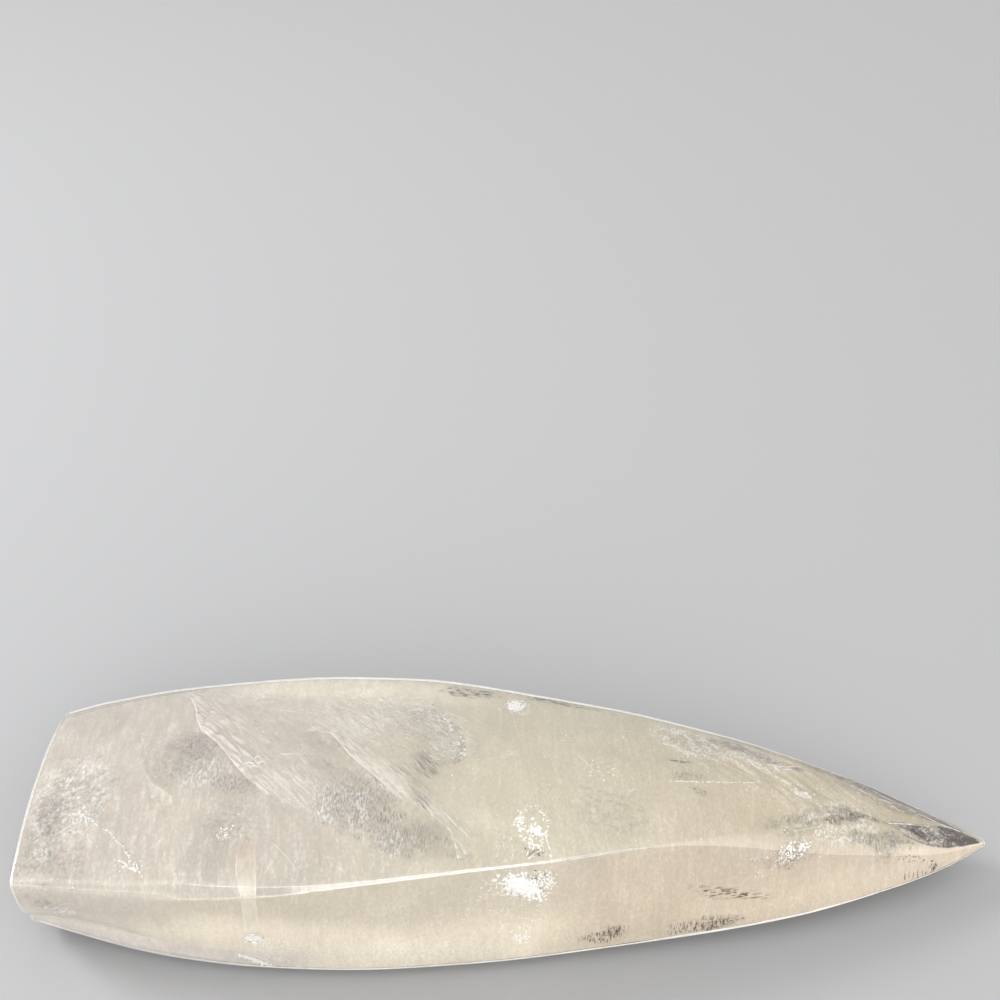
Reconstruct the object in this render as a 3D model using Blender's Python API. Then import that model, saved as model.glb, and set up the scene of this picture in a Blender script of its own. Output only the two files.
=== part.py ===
"""Quartz crystal: one piece of milky quartz, cut and polished to a long flame-shaped point.

The crystal lies on its side on the plane Z = 0.  X runs along it, from the flat cut base to the
tip, and Y runs across it.  The origin is on the resting plane, under the middle of the bounding box.

The body is a loft of sections across X.  Each section has a crowned top face between two ridges,
a bevel on each ridge, two side faces that lean in towards the foot, a steeper band along the foot,
and an underside with a flat ground strip, the land, that the crystal rests on.  Every edge that
runs from the base to the tip is a smooth curve through the few stations named below.
"""
import math

import bmesh
import bpy
from mathutils import Vector

MM = 0.001

NAME = "quartz_crystal"

# Ends of the crystal along X, in mm.
BASE_X = -176.5
TIP_X = 176.5

# Curves along the crystal: (x, value) stations in mm, base to tip.
# A ridge is where the top face and a side face would meet if they had no bevel between them.
BACK_RIDGE_Y = ((-176.5, 46.9), (-160.0, 52.4), (-125.0, 57.9), (-85.0, 59.3), (-40.0, 55.4),
                (10.0, 44.4), (60.0, 33.6), (108.0, 24.2), (142.0, 16.2), (164.0, 7.5), (176.5, 0.8))
FRONT_RIDGE_Y = ((-176.5, 47.6), (-140.0, 53.4), (-100.0, 58.5), (-80.0, 59.3), (-60.0, 57.7),
                 (-40.0, 55.7), (5.0, 48.4), (40.0, 39.4), (75.0, 30.0), (108.0, 22.6), (145.0, 12.8),
                 (164.0, 6.6), (176.5, 0.8))
RIDGE_Z = ((-176.5, 41.0), (-118.0, 46.0), (-65.0, 50.0), (-20.0, 52.0), (35.0, 50.3),
           (80.0, 44.0), (115.0, 35.0), (150.0, 24.0), (176.5, 16.6))
# The foot is where a side face ends and the underside begins.
FOOT_Y = ((-176.5, 33.3), (-158.0, 38.6), (-124.0, 47.0), (-91.0, 51.2), (-59.0, 52.3), (-17.0, 49.6),
          (26.0, 44.0), (69.0, 37.8), (103.0, 31.0), (137.5, 19.6), (161.5, 9.6), (176.5, 0.7))
FOOT_Z = ((-176.5, 9.8), (-140.0, 6.0), (-100.0, 4.4), (-55.0, 4.0), (0.0, 4.4),
          (60.0, 7.0), (110.0, 9.6), (150.0, 12.0), (176.5, 15.2))
BAND_HEIGHT = ((-176.5, 2.6), (-164.0, 6.5), (-146.0, 9.8), (-130.0, 9.2), (-112.0, 7.4), (-96.0, 5.0),
               (-76.0, 1.6), (60.0, 1.2), (176.5, 0.2))
# The keel is the middle of the underside, and the land is the flat strip along it.
KEEL_Z = ((-176.5, 4.0), (-145.0, 1.1), (-112.0, 0.0), (20.0, 0.0), (60.0, 1.8), (110.0, 5.6),
          (150.0, 10.2), (176.5, 15.0))
LAND_Y = ((-176.5, 20.0), (-140.0, 28.0), (-80.0, 36.0), (-20.0, 33.0), (40.0, 22.0),
          (110.0, 9.0), (150.0, 4.0), (176.5, 0.4))
# How far a bevel reaches from its ridge over each of the two faces.
FRONT_BEVEL = ((-176.5, 3.0), (-150.0, 5.0), (-134.0, 5.0), (-120.0, 4.2), (-106.0, 3.1), (-80.0, 1.9), (-58.0, 1.05),
               (-25.0, 0.7), (5.0, 0.5), (48.0, 0.5), (85.0, 4.0), (110.0, 5.0), (150.0, 3.6), (176.5, 0.2))
BACK_BEVEL = ((-176.5, 0.6), (0.0, 0.6), (60.0, 1.1), (120.0, 1.8), (150.0, 2.0), (176.5, 0.2))

# The top face rises over its ridges by this share of its half width.
TOP_CROWN = 0.17
# A side face bulges by this share of its height, which is more at the cut base.
SIDE_CROWN = ((-176.5, 0.068), (-150.0, 0.045), (-115.0, 0.03), (176.5, 0.03))
# The band along the foot leans outwards by this share of its height.
BAND_LEAN = 0.14
# The front ridge's bevel is a flat facet at 0 and a rounded shoulder at 1, as it is towards both ends.
SHOULDER = ((-176.5, 1.0), (-134.0, 1.0), (-112.0, 0.0), (44.0, 0.0), (70.0, 1.0), (176.5, 1.0))
# The cut base has a narrow bevel all round, and the tip is blunted by this much.
BASE_BEVEL = 0.8
TIP_ROUND = 0.5

# Faces across each stretch of the section, and along the body.
TOP_STEPS = 14
BEVEL_STEPS = 5
SIDE_STEPS = 5
BAND_STEPS = 2
UNDER_STEPS = 3
LAND_STEPS = 4
LENGTH_STEPS = 46

STONE_COLOUR = (0.74, 0.70, 0.60, 1.0)
STONE_ROUGHNESS = 0.05
STONE_IOR = 1.544


def along(stations, x):
    """Value at x of a smooth curve through the stations, which never overshoots between them."""
    xs, ys = zip(*stations)
    spans = range(len(xs) - 1)
    rises = [(ys[i + 1] - ys[i]) / (xs[i + 1] - xs[i]) for i in spans]
    slopes = [rises[0]]
    for before, after in zip(rises, rises[1:]):
        slopes.append(2 * before * after / (before + after) if before * after > 0 else 0.0)
    slopes.append(rises[-1])
    i = max(k for k in spans if xs[k] <= x or k == 0)
    gap = xs[i + 1] - xs[i]
    t = min((x - xs[i]) / gap, 1.0)
    from_start = (1 - t) ** 2 * ((1 + 2 * t) * ys[i] + t * gap * slopes[i])
    from_end = t ** 2 * ((3 - 2 * t) * ys[i + 1] - (1 - t) * gap * slopes[i + 1])
    return from_start + from_end


def straight(start, end, steps):
    """Points from start up to, but not including, end."""
    return [start.lerp(end, i / steps) for i in range(steps)]


def arc(start, end, rise, steps):
    """Points on a circle from start up to, but not including, end, bulging to the left by rise."""
    chord = end - start
    half = chord.length / 2
    radius = (half ** 2 + rise ** 2) / (2 * rise)
    spread = math.asin(half / radius)
    ahead = chord.normalized()
    left = Vector((-ahead.y, ahead.x))
    centre = start + chord / 2 - left * (radius - rise)
    turns = [spread * (2 * i / steps - 1) for i in range(steps)]
    return [centre + (ahead * math.sin(turn) + left * math.cos(turn)) * radius for turn in turns]


def bevel(start, corner, end, roundness, steps):
    """Points across a cut corner: a flat facet at roundness 0, a tangent curve at roundness 1."""
    points = []
    for i in range(steps):
        t = i / steps
        curved = start.lerp(corner, t).lerp(corner.lerp(end, t), t)
        points.append(start.lerp(end, t).lerp(curved, roundness))
    return points


def half_section(x, side, ridge_y, bevel_reach):
    """One side of the section at x: its corners as (y, z), and how far its side face bulges.

    side is -1 in front and 1 at the back.  The side face leaves its ridge leaning outwards, so that
    its bulge runs on smoothly from the bevel.
    """
    ridge = Vector((side * along(ridge_y, x), along(RIDGE_Z, x)))
    foot_y = along(FOOT_Y, x)
    foot = Vector((side * foot_y, along(FOOT_Z, x)))
    band_height = along(BAND_HEIGHT, x)
    reach = along(bevel_reach, x)
    band = foot + Vector((side * BAND_LEAN, 1.0)) * band_height
    bulge = along(SIDE_CROWN, x) * (ridge.y - foot.y)
    height = (band - ridge).length
    down = (band - ridge).normalized()
    outward = Vector((-down.y, down.x)) * side
    lean = 2 * math.atan(2 * bulge / height) * (1 - reach / height)
    return {
        "over": ridge + Vector((-side, 2 * TOP_CROWN)).normalized() * reach,
        "ridge": ridge,
        "under": ridge + (down * math.cos(lean) + outward * math.sin(lean)) * reach,
        "band": band,
        "foot": foot,
        "land": Vector((side * along(LAND_Y, x), along(KEEL_Z, x))),
        "bulge": bulge,
    }


def section(x):
    """The section at x as (y, z) points: over the top from front to back, then back underneath."""
    front = half_section(x, -1, FRONT_RIDGE_Y, FRONT_BEVEL)
    back = half_section(x, 1, BACK_RIDGE_Y, BACK_BEVEL)
    crown = TOP_CROWN * (back["over"].x - front["over"].x) / 2
    shoulder = along(SHOULDER, x)
    points = arc(front["over"], back["over"], crown, TOP_STEPS)
    points += bevel(back["over"], back["ridge"], back["under"], 0.0, BEVEL_STEPS)
    points += arc(back["under"], back["band"], back["bulge"], SIDE_STEPS)
    points += straight(back["band"], back["foot"], BAND_STEPS)
    points += straight(back["foot"], back["land"], UNDER_STEPS)
    points += straight(back["land"], front["land"], LAND_STEPS)
    points += straight(front["land"], front["foot"], UNDER_STEPS)
    points += straight(front["foot"], front["band"], BAND_STEPS)
    points += arc(front["band"], front["under"], front["bulge"], SIDE_STEPS)
    points += bevel(front["under"], front["ridge"], front["over"], shoulder, BEVEL_STEPS)
    return points


def stations_along_body():
    """Places of the sections along X, closer together towards the base and the tip."""
    start, end = BASE_X + BASE_BEVEL, TIP_X - TIP_ROUND
    turns = [math.pi * i / LENGTH_STEPS for i in range(LENGTH_STEPS + 1)]
    middle, half = (start + end) / 2, (end - start) / 2
    return [middle - half * (0.45 * math.cos(turn) + 0.55 * (1 - 2 * turn / math.pi)) for turn in turns]


def add_ring(mesh, x, points):
    """A loop of vertices at x."""
    return [mesh.verts.new((x * MM, y * MM, z * MM)) for y, z in points]


def join_rings(mesh, first, second):
    """A band of faces between two loops of the same length."""
    for i in range(len(first)):
        j = (i + 1) % len(first)
        mesh.faces.new((first[i], first[j], second[j], second[i]))


def inset(points, distance):
    """The same outline, each point moved by distance towards the outline's middle."""
    middle = sum(points, Vector((0.0, 0.0))) / len(points)
    return [point + (middle - point).normalized() * distance for point in points]


def build_body():
    """The whole crystal as one closed mesh."""
    mesh = bmesh.new()
    places = stations_along_body()
    base = inset(section(places[0]), BASE_BEVEL)
    rings = [add_ring(mesh, BASE_X, base)]
    rings += [add_ring(mesh, x, section(x)) for x in places]
    for first, second in zip(rings, rings[1:]):
        join_rings(mesh, first, second)
    mesh.faces.new(reversed(rings[0]))
    tip_points = section(places[-1])
    tip = sum(tip_points, Vector((0.0, 0.0))) / len(tip_points)
    apex = mesh.verts.new((TIP_X * MM, tip.x * MM, tip.y * MM))
    last = rings[-1]
    for i in range(len(last)):
        mesh.faces.new((last[i], last[(i + 1) % len(last)], apex))
    bmesh.ops.recalc_face_normals(mesh, faces=mesh.faces)
    data = bpy.data.meshes.new(NAME)
    mesh.to_mesh(data)
    mesh.free()
    return data


def stone_material():
    """Milky polished quartz."""
    material = bpy.data.materials.new("milky_quartz")
    material.use_nodes = True
    surface = material.node_tree.nodes["Principled BSDF"]
    surface.inputs["Base Color"].default_value = STONE_COLOUR
    surface.inputs["Roughness"].default_value = STONE_ROUGHNESS
    surface.inputs["Metallic"].default_value = 0.0
    surface.inputs["IOR"].default_value = STONE_IOR
    return material


def main():
    for old in list(bpy.data.objects):
        bpy.data.objects.remove(old)
    parts = bpy.data.collections.new(NAME)
    bpy.context.scene.collection.children.link(parts)
    crystal = bpy.data.objects.new(NAME, build_body())
    crystal.data.materials.append(stone_material())
    crystal.data.shade_smooth()
    crystal.data.set_sharp_from_angle(angle=math.radians(20))
    parts.objects.link(crystal)


main()
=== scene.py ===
# %% [markdown]
# # A polished milky quartz point
#
# The stone is a single piece of quartz, cut flat at one end and polished to a long point. What makes
# it look like quartz lies inside: thin milky haze, veils that end in bright crests, healed cracks
# and thousands of tiny flecks, all seen through a clear polished skin. So the model is a clear
# glass-like skin with those things sealed in it as real meshes. A material only adds what is finer
# than a mesh can carry, such as the streaks within one veil.
#
# The frame, which is the packed CAD model, comes first.

# %% Load the frame
import math
import random

import bmesh
import bpy
import numpy as np
from mathutils import Euler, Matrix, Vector
from mathutils.bvhtree import BVHTree


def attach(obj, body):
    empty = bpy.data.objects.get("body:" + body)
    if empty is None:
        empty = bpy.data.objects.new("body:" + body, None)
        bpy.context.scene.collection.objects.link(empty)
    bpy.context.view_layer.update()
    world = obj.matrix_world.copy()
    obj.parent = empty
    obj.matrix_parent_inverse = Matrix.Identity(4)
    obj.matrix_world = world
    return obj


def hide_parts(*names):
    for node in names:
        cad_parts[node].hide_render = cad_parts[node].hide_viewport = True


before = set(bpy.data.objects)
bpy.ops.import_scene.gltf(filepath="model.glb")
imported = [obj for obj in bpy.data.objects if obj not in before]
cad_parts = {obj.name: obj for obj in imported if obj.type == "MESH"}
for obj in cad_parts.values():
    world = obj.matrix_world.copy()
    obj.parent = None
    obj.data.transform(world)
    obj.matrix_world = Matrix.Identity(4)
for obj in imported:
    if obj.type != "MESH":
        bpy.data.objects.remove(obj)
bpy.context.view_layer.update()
MM = 0.001
NODE = "quartz_crystal"

# %% [markdown]
# Shader maths reads best as plain expressions. `Signal` wraps what a node puts out, so that
# `1 - mask * 0.5` adds the Math nodes by itself. `Shader` is one node tree. Every node comes from its
# method `node`, which takes the node's type, its settings and its inputs, and the methods after that
# are the few patterns that quartz needs.

# %% A small language for shaders
class Signal:
    """A number, vector or colour that a shader node puts out."""

    def __init__(self, shader, socket):
        self.shader = shader
        self.socket = socket

    def maths(self, operation, *others):
        """What a Math node makes of this number and others."""
        return self.shader.node("ShaderNodeMath", {"operation": operation}, dict(enumerate((self, *others))))

    def __add__(self, other):
        return self.maths("ADD", other)

    def __sub__(self, other):
        return self.maths("SUBTRACT", other)

    def __rsub__(self, other):
        return (self * -1).maths("ADD", other)

    def __mul__(self, other):
        return self.maths("MULTIPLY", other)

    def __pow__(self, other):
        return self.maths("POWER", other)

    __radd__ = __add__
    __rmul__ = __mul__

    def ramp(self, low, high):
        """0 where this is at low, 1 where it is at high, smooth between; low may be the larger."""
        settings = {"interpolation_type": "SMOOTHSTEP"}
        inputs = {"Value": self, "From Min": low, "From Max": high}
        return self.shader.node("ShaderNodeMapRange", settings, inputs)

    def most(self, other):
        return self.maths("MAXIMUM", other)

    def least(self, other):
        return self.maths("MINIMUM", other)

    def part(self, axis):
        """One component of a vector: X, Y or Z."""
        return self.shader.node("ShaderNodeSeparateXYZ", {}, {"Vector": self}, axis)

    def length(self):
        return self.shader.node("ShaderNodeVectorMath", {"operation": "LENGTH"}, {0: self}, "Value")


print("a signal can:", [name for name in vars(Signal) if not name.startswith("_")])

# %% Node trees that are built by calls
class Shader:
    """A node tree that is built by calls instead of by hand."""

    def __init__(self, tree):
        self.tree = tree

    def node(self, kind, settings=None, inputs=None, output=0):
        """Adds a node, sets it up, fills its sockets with values or links, and returns one output."""
        made = self.tree.nodes.new(kind)
        for key, value in (settings or {}).items():
            setattr(made, key, value)
        for key, value in (inputs or {}).items():
            if isinstance(value, Signal):
                self.tree.links.new(value.socket, made.inputs[key])
            else:
                made.inputs[key].default_value = value
        return Signal(self, made.outputs[output])

    def place(self, scale=(1, 1, 1), turn=0, centre=(0, 0, 0), source="Object"):
        """Coordinates that are centred, turned about Z and stretched; Object ones are in metres."""
        where = self.node("ShaderNodeTexCoord", output=source)
        inputs = {"Vector": where, "Location": centre, "Rotation": (0, 0, turn), "Scale": scale}
        return self.node("ShaderNodeMapping", {"vector_type": "TEXTURE"}, inputs)

    def noise(self, where, size, detail=3, roughness=0.5, distortion=0):
        """Cloudy noise from 0 to 1, whose lumps are about size across."""
        inputs = {"Vector": where, "Scale": 1 / size, "Detail": detail, "Roughness": roughness,
                  "Distortion": distortion}
        return self.node("ShaderNodeTexNoise", {}, inputs, "Fac")

    def blend(self, share, first, second):
        """A colour between first and second."""
        settings = {"data_type": "RGBA", "clamp_factor": True}
        return self.node("ShaderNodeMix", settings, {0: share, 6: first, 7: second}, 2)

    def sheet_axes(self):
        """A sheet's two UV coordinates, each from 0 to 1: along its rows, and across them."""
        return [self.place(source="UV").part(axis) for axis in "XY"]

    def patch(self, centre, radii, turn=0, soft=0.5):
        """1 inside an ellipsoid, given in mm and turned in degrees, fading to 0 towards its rim."""
        where = self.place([r * MM for r in radii], math.radians(turn), [c * MM for c in centre])
        return where.length().ramp(1, 1 - soft)


class Recipe(Shader):
    """One material, built around a Principled shader."""

    def __init__(self, name, **plain):
        self.material = bpy.data.materials.new(name)
        self.material.use_nodes = True
        super().__init__(self.material.node_tree)
        self.surface = self.tree.nodes["Principled BSDF"]
        for socket, value in plain.items():
            self.surface.inputs[socket.replace("_", " ")].default_value = value

    def feed(self, **signals):
        """Links signals to the Principled shader's sockets."""
        for socket, signal in signals.items():
            self.tree.links.new(signal.socket, self.surface.inputs[socket.replace("_", " ")])


def colour(*picked):
    """A linear colour from the red, green and blue, 0 to 255, that a colour picker shows."""
    shares = [value / 255 for value in picked]
    return (*[s / 12.92 if s <= 0.04 else ((s + 0.055) / 1.055) ** 2.4 for s in shares], 1)


print("mid grey as a linear colour:", [round(value, 3) for value in colour(128, 128, 128)])

# %% [markdown]
# The camera looks down on the stone from its long side, as it would from a person's eye over a
# table: 467 mm up, 484 mm back from the stone's middle, tilted down by 31.7 degrees. The lens is
# 62 mm long on a 36 mm sensor.

# %% Camera
CAMERA_PLACE = Vector((-6.4, -484.4, 467)) * MM
CAMERA_TILT = math.radians(31.69)
LENS = 62
SENSOR_WIDTH = 36
NEAREST_SEEN = 0.01

camera_data = bpy.data.cameras.new("camera")
camera_data.lens = LENS
camera_data.sensor_width = SENSOR_WIDTH
camera_data.clip_start = NEAREST_SEEN
camera = bpy.data.objects.new("camera", camera_data)
camera.location = CAMERA_PLACE
camera.rotation_euler = (math.pi / 2 - CAMERA_TILT, 0, 0)
bpy.context.scene.collection.objects.link(camera)
bpy.context.scene.camera = camera
print("camera distance in mm:", round(CAMERA_PLACE.length / MM))

# %% [markdown]
# The floor is plain and pale. A clear stone is lit by what surrounds it, because lamps reach its
# inside badly, so most of the light is a pale sky, which is brighter on the viewer's side. A soft
# bright spot low in front is mirrored in the bevel along the front ridge, as one white streak, and
# one soft lamp gives the shadow its direction. Light crosses many layers of haze on its way, so the
# number of see-through layers it may cross is raised.

# %% Floor
FLOOR_WIDTH = 8
FLOOR_GREY = colour(140, 141, 143)

bpy.ops.object.select_all(action="DESELECT")
bpy.ops.mesh.primitive_plane_add(size=FLOOR_WIDTH, location=(0, 0, 0))
floor = bpy.context.object
floor.name = "floor"
floor_paint = Recipe("floor_paint", Roughness=0.85, Base_Color=FLOOR_GREY)
floor.data.materials.append(floor_paint.material)
print("floor width in m:", FLOOR_WIDTH)

# %% Sky
SKY_TINT = (1, 0.985, 0.965, 1)
SKY_BEHIND = 0.95
SKY_IN_FRONT = 2.7
SKY_FADE = (0.3, -0.9)
SPOT_TOWARDS = (0.163, -0.926, 0.342)
SPOT_EDGE = (0.42, 0.24)
SPOT_STRENGTH = 6.5
HAZE_LAYERS = 24

world = bpy.data.worlds.new("sky")
world.use_nodes = True
sky = Shader(world.node_tree)
background = world.node_tree.nodes["Background"]
background.inputs["Color"].default_value = SKY_TINT
in_front = sky.place(source="Generated").part("Y").ramp(*SKY_FADE)
spot = sky.place(centre=SPOT_TOWARDS, source="Generated").length().ramp(*SPOT_EDGE)
strength = in_front * (SKY_IN_FRONT - SKY_BEHIND) + SKY_BEHIND + spot * SPOT_STRENGTH
world.node_tree.links.new(strength.socket, background.inputs["Strength"])
bpy.context.scene.world = world
bpy.context.scene.view_settings.view_transform = "Standard"
bpy.context.scene.cycles.transparent_max_bounces = HAZE_LAYERS
print("sky nodes:", len(world.node_tree.nodes))

# %% Lamp
LAMP_PLACE = (-1.45, 0.35, 1.1)
LAMP_SIZE = (0.5, 0.5)
LAMP_POWER = 26

lamp_data = bpy.data.lights.new("window_lamp", "AREA")
lamp_data.shape = "RECTANGLE"
lamp_data.size, lamp_data.size_y = LAMP_SIZE
lamp_data.energy = LAMP_POWER
lamp = bpy.data.objects.new("window_lamp", lamp_data)
lamp.location = LAMP_PLACE
lamp.rotation_euler = (-Vector(LAMP_PLACE)).to_track_quat("-Z", "Y").to_euler()
bpy.context.scene.collection.objects.link(lamp)
print("lamp distance in m:", round(Vector(LAMP_PLACE).length, 2))

# %% [markdown]
# The polished skin has the CAD model's own shape. Its copy is welded, its triangles are paired into
# quads, and a Subdivision Surface smooths it. The ridges are creased just enough to keep them crisp
# with a thin rounded edge, which is where a polished stone catches the light.

# %% Shaping a piece
WELD_DISTANCE = 0.00001
PAIRING_BEND = math.radians(40)
PAIRING_SHAPE = math.radians(60)


def only(piece):
    """Selects one object and nothing else."""
    bpy.ops.object.select_all(action="DESELECT")
    piece.select_set(True)
    bpy.context.view_layer.objects.active = piece


def edited(piece, operator, **settings):
    """Runs one edit mode operator on the whole of a piece."""
    only(piece)
    bpy.ops.object.mode_set(mode="EDIT")
    bpy.ops.mesh.select_all(action="SELECT")
    operator(**settings)
    bpy.ops.object.mode_set(mode="OBJECT")


def modified(piece, kind, **settings):
    """Adds one modifier to a piece and applies it."""
    only(piece)
    modifier = piece.modifiers.new(kind.lower(), kind)
    for key, value in settings.items():
        setattr(modifier, key, value)
    bpy.ops.object.modifier_apply(modifier=modifier.name)


def welded_copy(name):
    """The CAD stone as a new object of welded quads."""
    piece = bpy.data.objects.new(name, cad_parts[NODE].data.copy())
    bpy.context.scene.collection.objects.link(piece)
    piece.data.materials.clear()
    only(piece)
    bpy.ops.object.mode_set(mode="EDIT")
    bpy.ops.mesh.select_all(action="SELECT")
    bpy.ops.mesh.remove_doubles(threshold=WELD_DISTANCE)
    bpy.ops.mesh.tris_convert_to_quads(face_threshold=PAIRING_BEND, shape_threshold=PAIRING_SHAPE)
    bpy.ops.object.mode_set(mode="OBJECT")
    return piece


def inset(piece, depth):
    """Moves the whole surface inwards by depth mm."""
    edited(piece, bpy.ops.transform.shrink_fatten, value=-depth * MM, use_even_offset=True)


print("weld distance in mm:", WELD_DISTANCE / MM)

# %% Polished skin
RIDGE_ANGLE = math.radians(15)
RIDGE_CREASE = 0.5
SMOOTHING_LEVELS = 2


def crease_ridges(piece):
    """Marks every edge that bends enough to be a ridge, so that subdivision keeps it crisp."""
    mesh = bmesh.new()
    mesh.from_mesh(piece.data)
    layer = mesh.edges.layers.float.new("crease_edge")
    ridges = [e for e in mesh.edges if e.is_manifold and e.calc_face_angle() > RIDGE_ANGLE]
    for edge in ridges:
        edge[layer] = RIDGE_CREASE
    mesh.to_mesh(piece.data)
    mesh.free()
    return len(ridges)


def polish(piece):
    """Creases the ridges of a welded copy and smooths the rest."""
    creased = crease_ridges(piece)
    modified(piece, "SUBSURF", levels=SMOOTHING_LEVELS, render_levels=SMOOTHING_LEVELS)
    piece.data.shade_smooth()
    return creased


skin = welded_copy("polished_skin")
print("creased edges:", polish(skin))

# %% Clear quartz
QUARTZ_IOR = 1.544
clear_quartz = Recipe("clear_quartz", Base_Color=(1, 1, 1, 1), Roughness=0, IOR=QUARTZ_IOR,
                      Transmission_Weight=1)
skin.data.materials.append(clear_quartz.material)
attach(skin, "root")
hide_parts(NODE)
print("skin triangles:", sum(len(p.vertices) - 2 for p in skin.data.polygons))

# %% [markdown]
# Everything else lies under that skin. Two probes find a place by its depth below the polished
# surface: one goes down onto the top, the other comes in from the front. They let a veil or a crack
# be laid out as on a map, in mm, and it always stays inside the stone. Each piece then prints how
# clear of the skin it is.

# %% Finding places under the skin
OUTSIDE = 100
TRIES = 80
skin_tree = BVHTree.FromObject(skin, bpy.context.evaluated_depsgraph_get())


def under(place, drawn_in, towards, depth):
    """The point depth mm under the skin, where a probe from a place outside first meets it."""
    for _ in range(TRIES):
        near, normal, _, _ = skin_tree.ray_cast(Vector([v * MM for v in place]), Vector(towards))
        if near:
            return near - normal * depth * MM
        place = drawn_in(*place)


def under_top(x, y, depth):
    """The point depth mm under the top face at x and y; a place outside the stone is drawn in."""
    return under((x, y, OUTSIDE), lambda x, y, z: (x * 0.995, y * 0.98, z), (0, 0, -1), depth)


def under_front(x, z, depth):
    """The point depth mm under the front flank at x and height z, drawn in in the same way."""
    return under((x, -OUTSIDE, z), lambda x, y, z: (x * 0.995, y, z + (20 - z) * 0.05), (0, 1, 0), depth)


def skin_gap(point):
    """How far inside the skin a point is, in mm; below 0 it pokes out."""
    near, normal, _, gap = skin_tree.find_nearest(point)
    return (gap if (near - point).dot(normal) > 0 else -gap) / MM


def seal_in(piece, recipe):
    """Gives a piece inside the stone its finish and its place in the frame's table."""
    piece.data.materials.append(recipe.material)
    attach(piece, "root")
    clear_by = min(skin_gap(vertex.co) for vertex in piece.data.vertices)
    print(piece.name, "faces", len(piece.data.polygons), "clear of the skin by", round(clear_by, 2), "mm")


print("0.5 mm under the middle of the top, in mm:", [round(v / MM, 1) for v in under_top(0, 0, 0.5)])

# %% [markdown]
# Milky haze in quartz is a fog of tiny bubbles in layers that follow the stone's growth. Here it is
# closed shells, one inside the other, each a shrunken copy of the stone. The outer one is only
# partly there, so that one looks through it into the next, as into real fog. The deepest one is the
# bright fog that fills the heart of the stone.

# %% Colours of the haze
ROSE_MILK = (0.668, 0.616, 0.549, 1)
CREAM_MILK = (0.662, 0.616, 0.5, 1)
GREEN_MILK = (0.645, 0.58, 0.452, 1)
BACK_MILK = (0.86, 0.8, 0.68, 1)
# The flank tints from here to FLANK_WARM are mostly lighter than the top's: painted light, for the light a
# flank gets less of.
FLANK_CUT = (0.895, 0.835, 0.74, 1)
FLANK_HIGH = (0.676, 0.62, 0.516, 1)
FLANK_LOW = (0.9, 0.83, 0.69, 1)
FLANK_FOOT = (0.79, 0.74, 0.685, 1)
FLANK_END = (0.665, 0.62, 0.548, 1)
FLANK_RIGHT = (0.7, 0.622, 0.5, 1)
FLANK_TIP = (0.778, 0.688, 0.56, 1)
FLANK_RIDGE = (0.64, 0.57, 0.462, 1)
FLANK_WARM = (0.955, 0.885, 0.735, 1)
# Painted shade, for the bevel between the top and the flank.
BEVEL_PAINTED_SHADE = (0.5, 0.465, 0.4, 1)
MOSS_ASH = (0.476, 0.453, 0.393, 1)
ASH = (0.5, 0.465, 0.43, 1)
LILAC_ASH = (0.53, 0.485, 0.475, 1)
SNOW = (0.97, 0.965, 0.95, 1)
BRIGHT_MILK = (0.86, 0.81, 0.74, 1)


def fog(name, tint=None):
    """A rough, shineless recipe, all of one tint if that is given, and its object coordinates."""
    recipe = Recipe(name, Roughness=0.9, Specular_IOR_Level=0)
    if tint:
        recipe.surface.inputs["Base Color"].default_value = tint
    return recipe, recipe.place()


def milk_colour(recipe, where):
    """Rose at the cut end, cream in the middle, greenish towards the point, lighter along the back and
    darker towards the front of the left half. The bevel gets painted shade, and the flanks, picked out by
    the surface normal, get warm tints of their own, mostly lighter than the top's: painted light, for the
    light a flank gets less of.

    A ramp on X, Y or Z, or on along or height, is between two places in metres.
    """
    along = where.part("X") + (recipe.noise(where, 0.05, 2) - 0.5) * 0.05
    tone = recipe.blend(along.ramp(-0.09, -0.01), ROSE_MILK, CREAM_MILK)
    tone = recipe.blend(along.ramp(0.02, 0.1), tone, GREEN_MILK)
    tone = recipe.blend(where.part("Y").ramp(0.04, -0.05) * along.ramp(0, -0.05) * 0.26, tone, MOSS_ASH)
    tone = recipe.blend(recipe.patch((-64, 46, 52), (80, 16, 22), -10, 0.7), tone, BACK_MILK)
    flank = recipe.blend(along.ramp(-0.11, -0.05), FLANK_CUT, FLANK_LOW)
    height = where.part("Z") + along.most(0.02) * 0.2 + (recipe.noise(where, 0.03, 2) - 0.5) * 0.015
    flank = recipe.blend(height.ramp(0.024, 0.042), flank, FLANK_HIGH)
    flank = recipe.blend(recipe.patch((-104, -58, 25), (46, 40, 17), 0, 0.9), flank, FLANK_WARM)
    end = along.ramp(-0.105, -0.14) * where.part("Z").ramp(0.018, 0.036)
    flank = recipe.blend(end, flank, FLANK_END)
    foot = where.part("Z").ramp(0.016, 0.011) * along.ramp(-0.07, -0.1)
    flank = recipe.blend(foot, flank, FLANK_FOOT)
    right = recipe.blend(along.ramp(0.075, 0.13), FLANK_RIGHT, FLANK_TIP)
    right = recipe.blend(height.ramp(0.038, 0.054) * along.ramp(0.15, 0.135), right, FLANK_RIDGE)
    flank = recipe.blend(along.ramp(0, 0.045), flank, right)
    upright = recipe.node("ShaderNodeTexCoord", output="Normal").part("Z")
    # Painted shade on the bevel and painted light on the flanks, both picked out by the surface normal.
    tone = recipe.blend(upright.ramp(0.85, 0.65) * along.ramp(0.06, 0.03), tone, BEVEL_PAINTED_SHADE)
    side = upright.ramp(0.6, 0.2).most(upright.ramp(0.94, 0.66) * along.ramp(0.045, 0.075))
    return recipe.blend(side, tone, flank)


def striae(recipe, fine):
    """Fine growth lines that run across the stone."""
    across = recipe.place(scale=(1, 9, 9), turn=math.radians(4))
    return recipe.noise(across, fine, 4, 0.6, 0.3)


print("tints of the warm flank and of the bevel:", FLANK_WARM[:3], BEVEL_PAINTED_SHADE[:3])

# %% Shells of haze
HEART = (-0.02, 0, 0.024)
VOXEL = 0.0025


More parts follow.
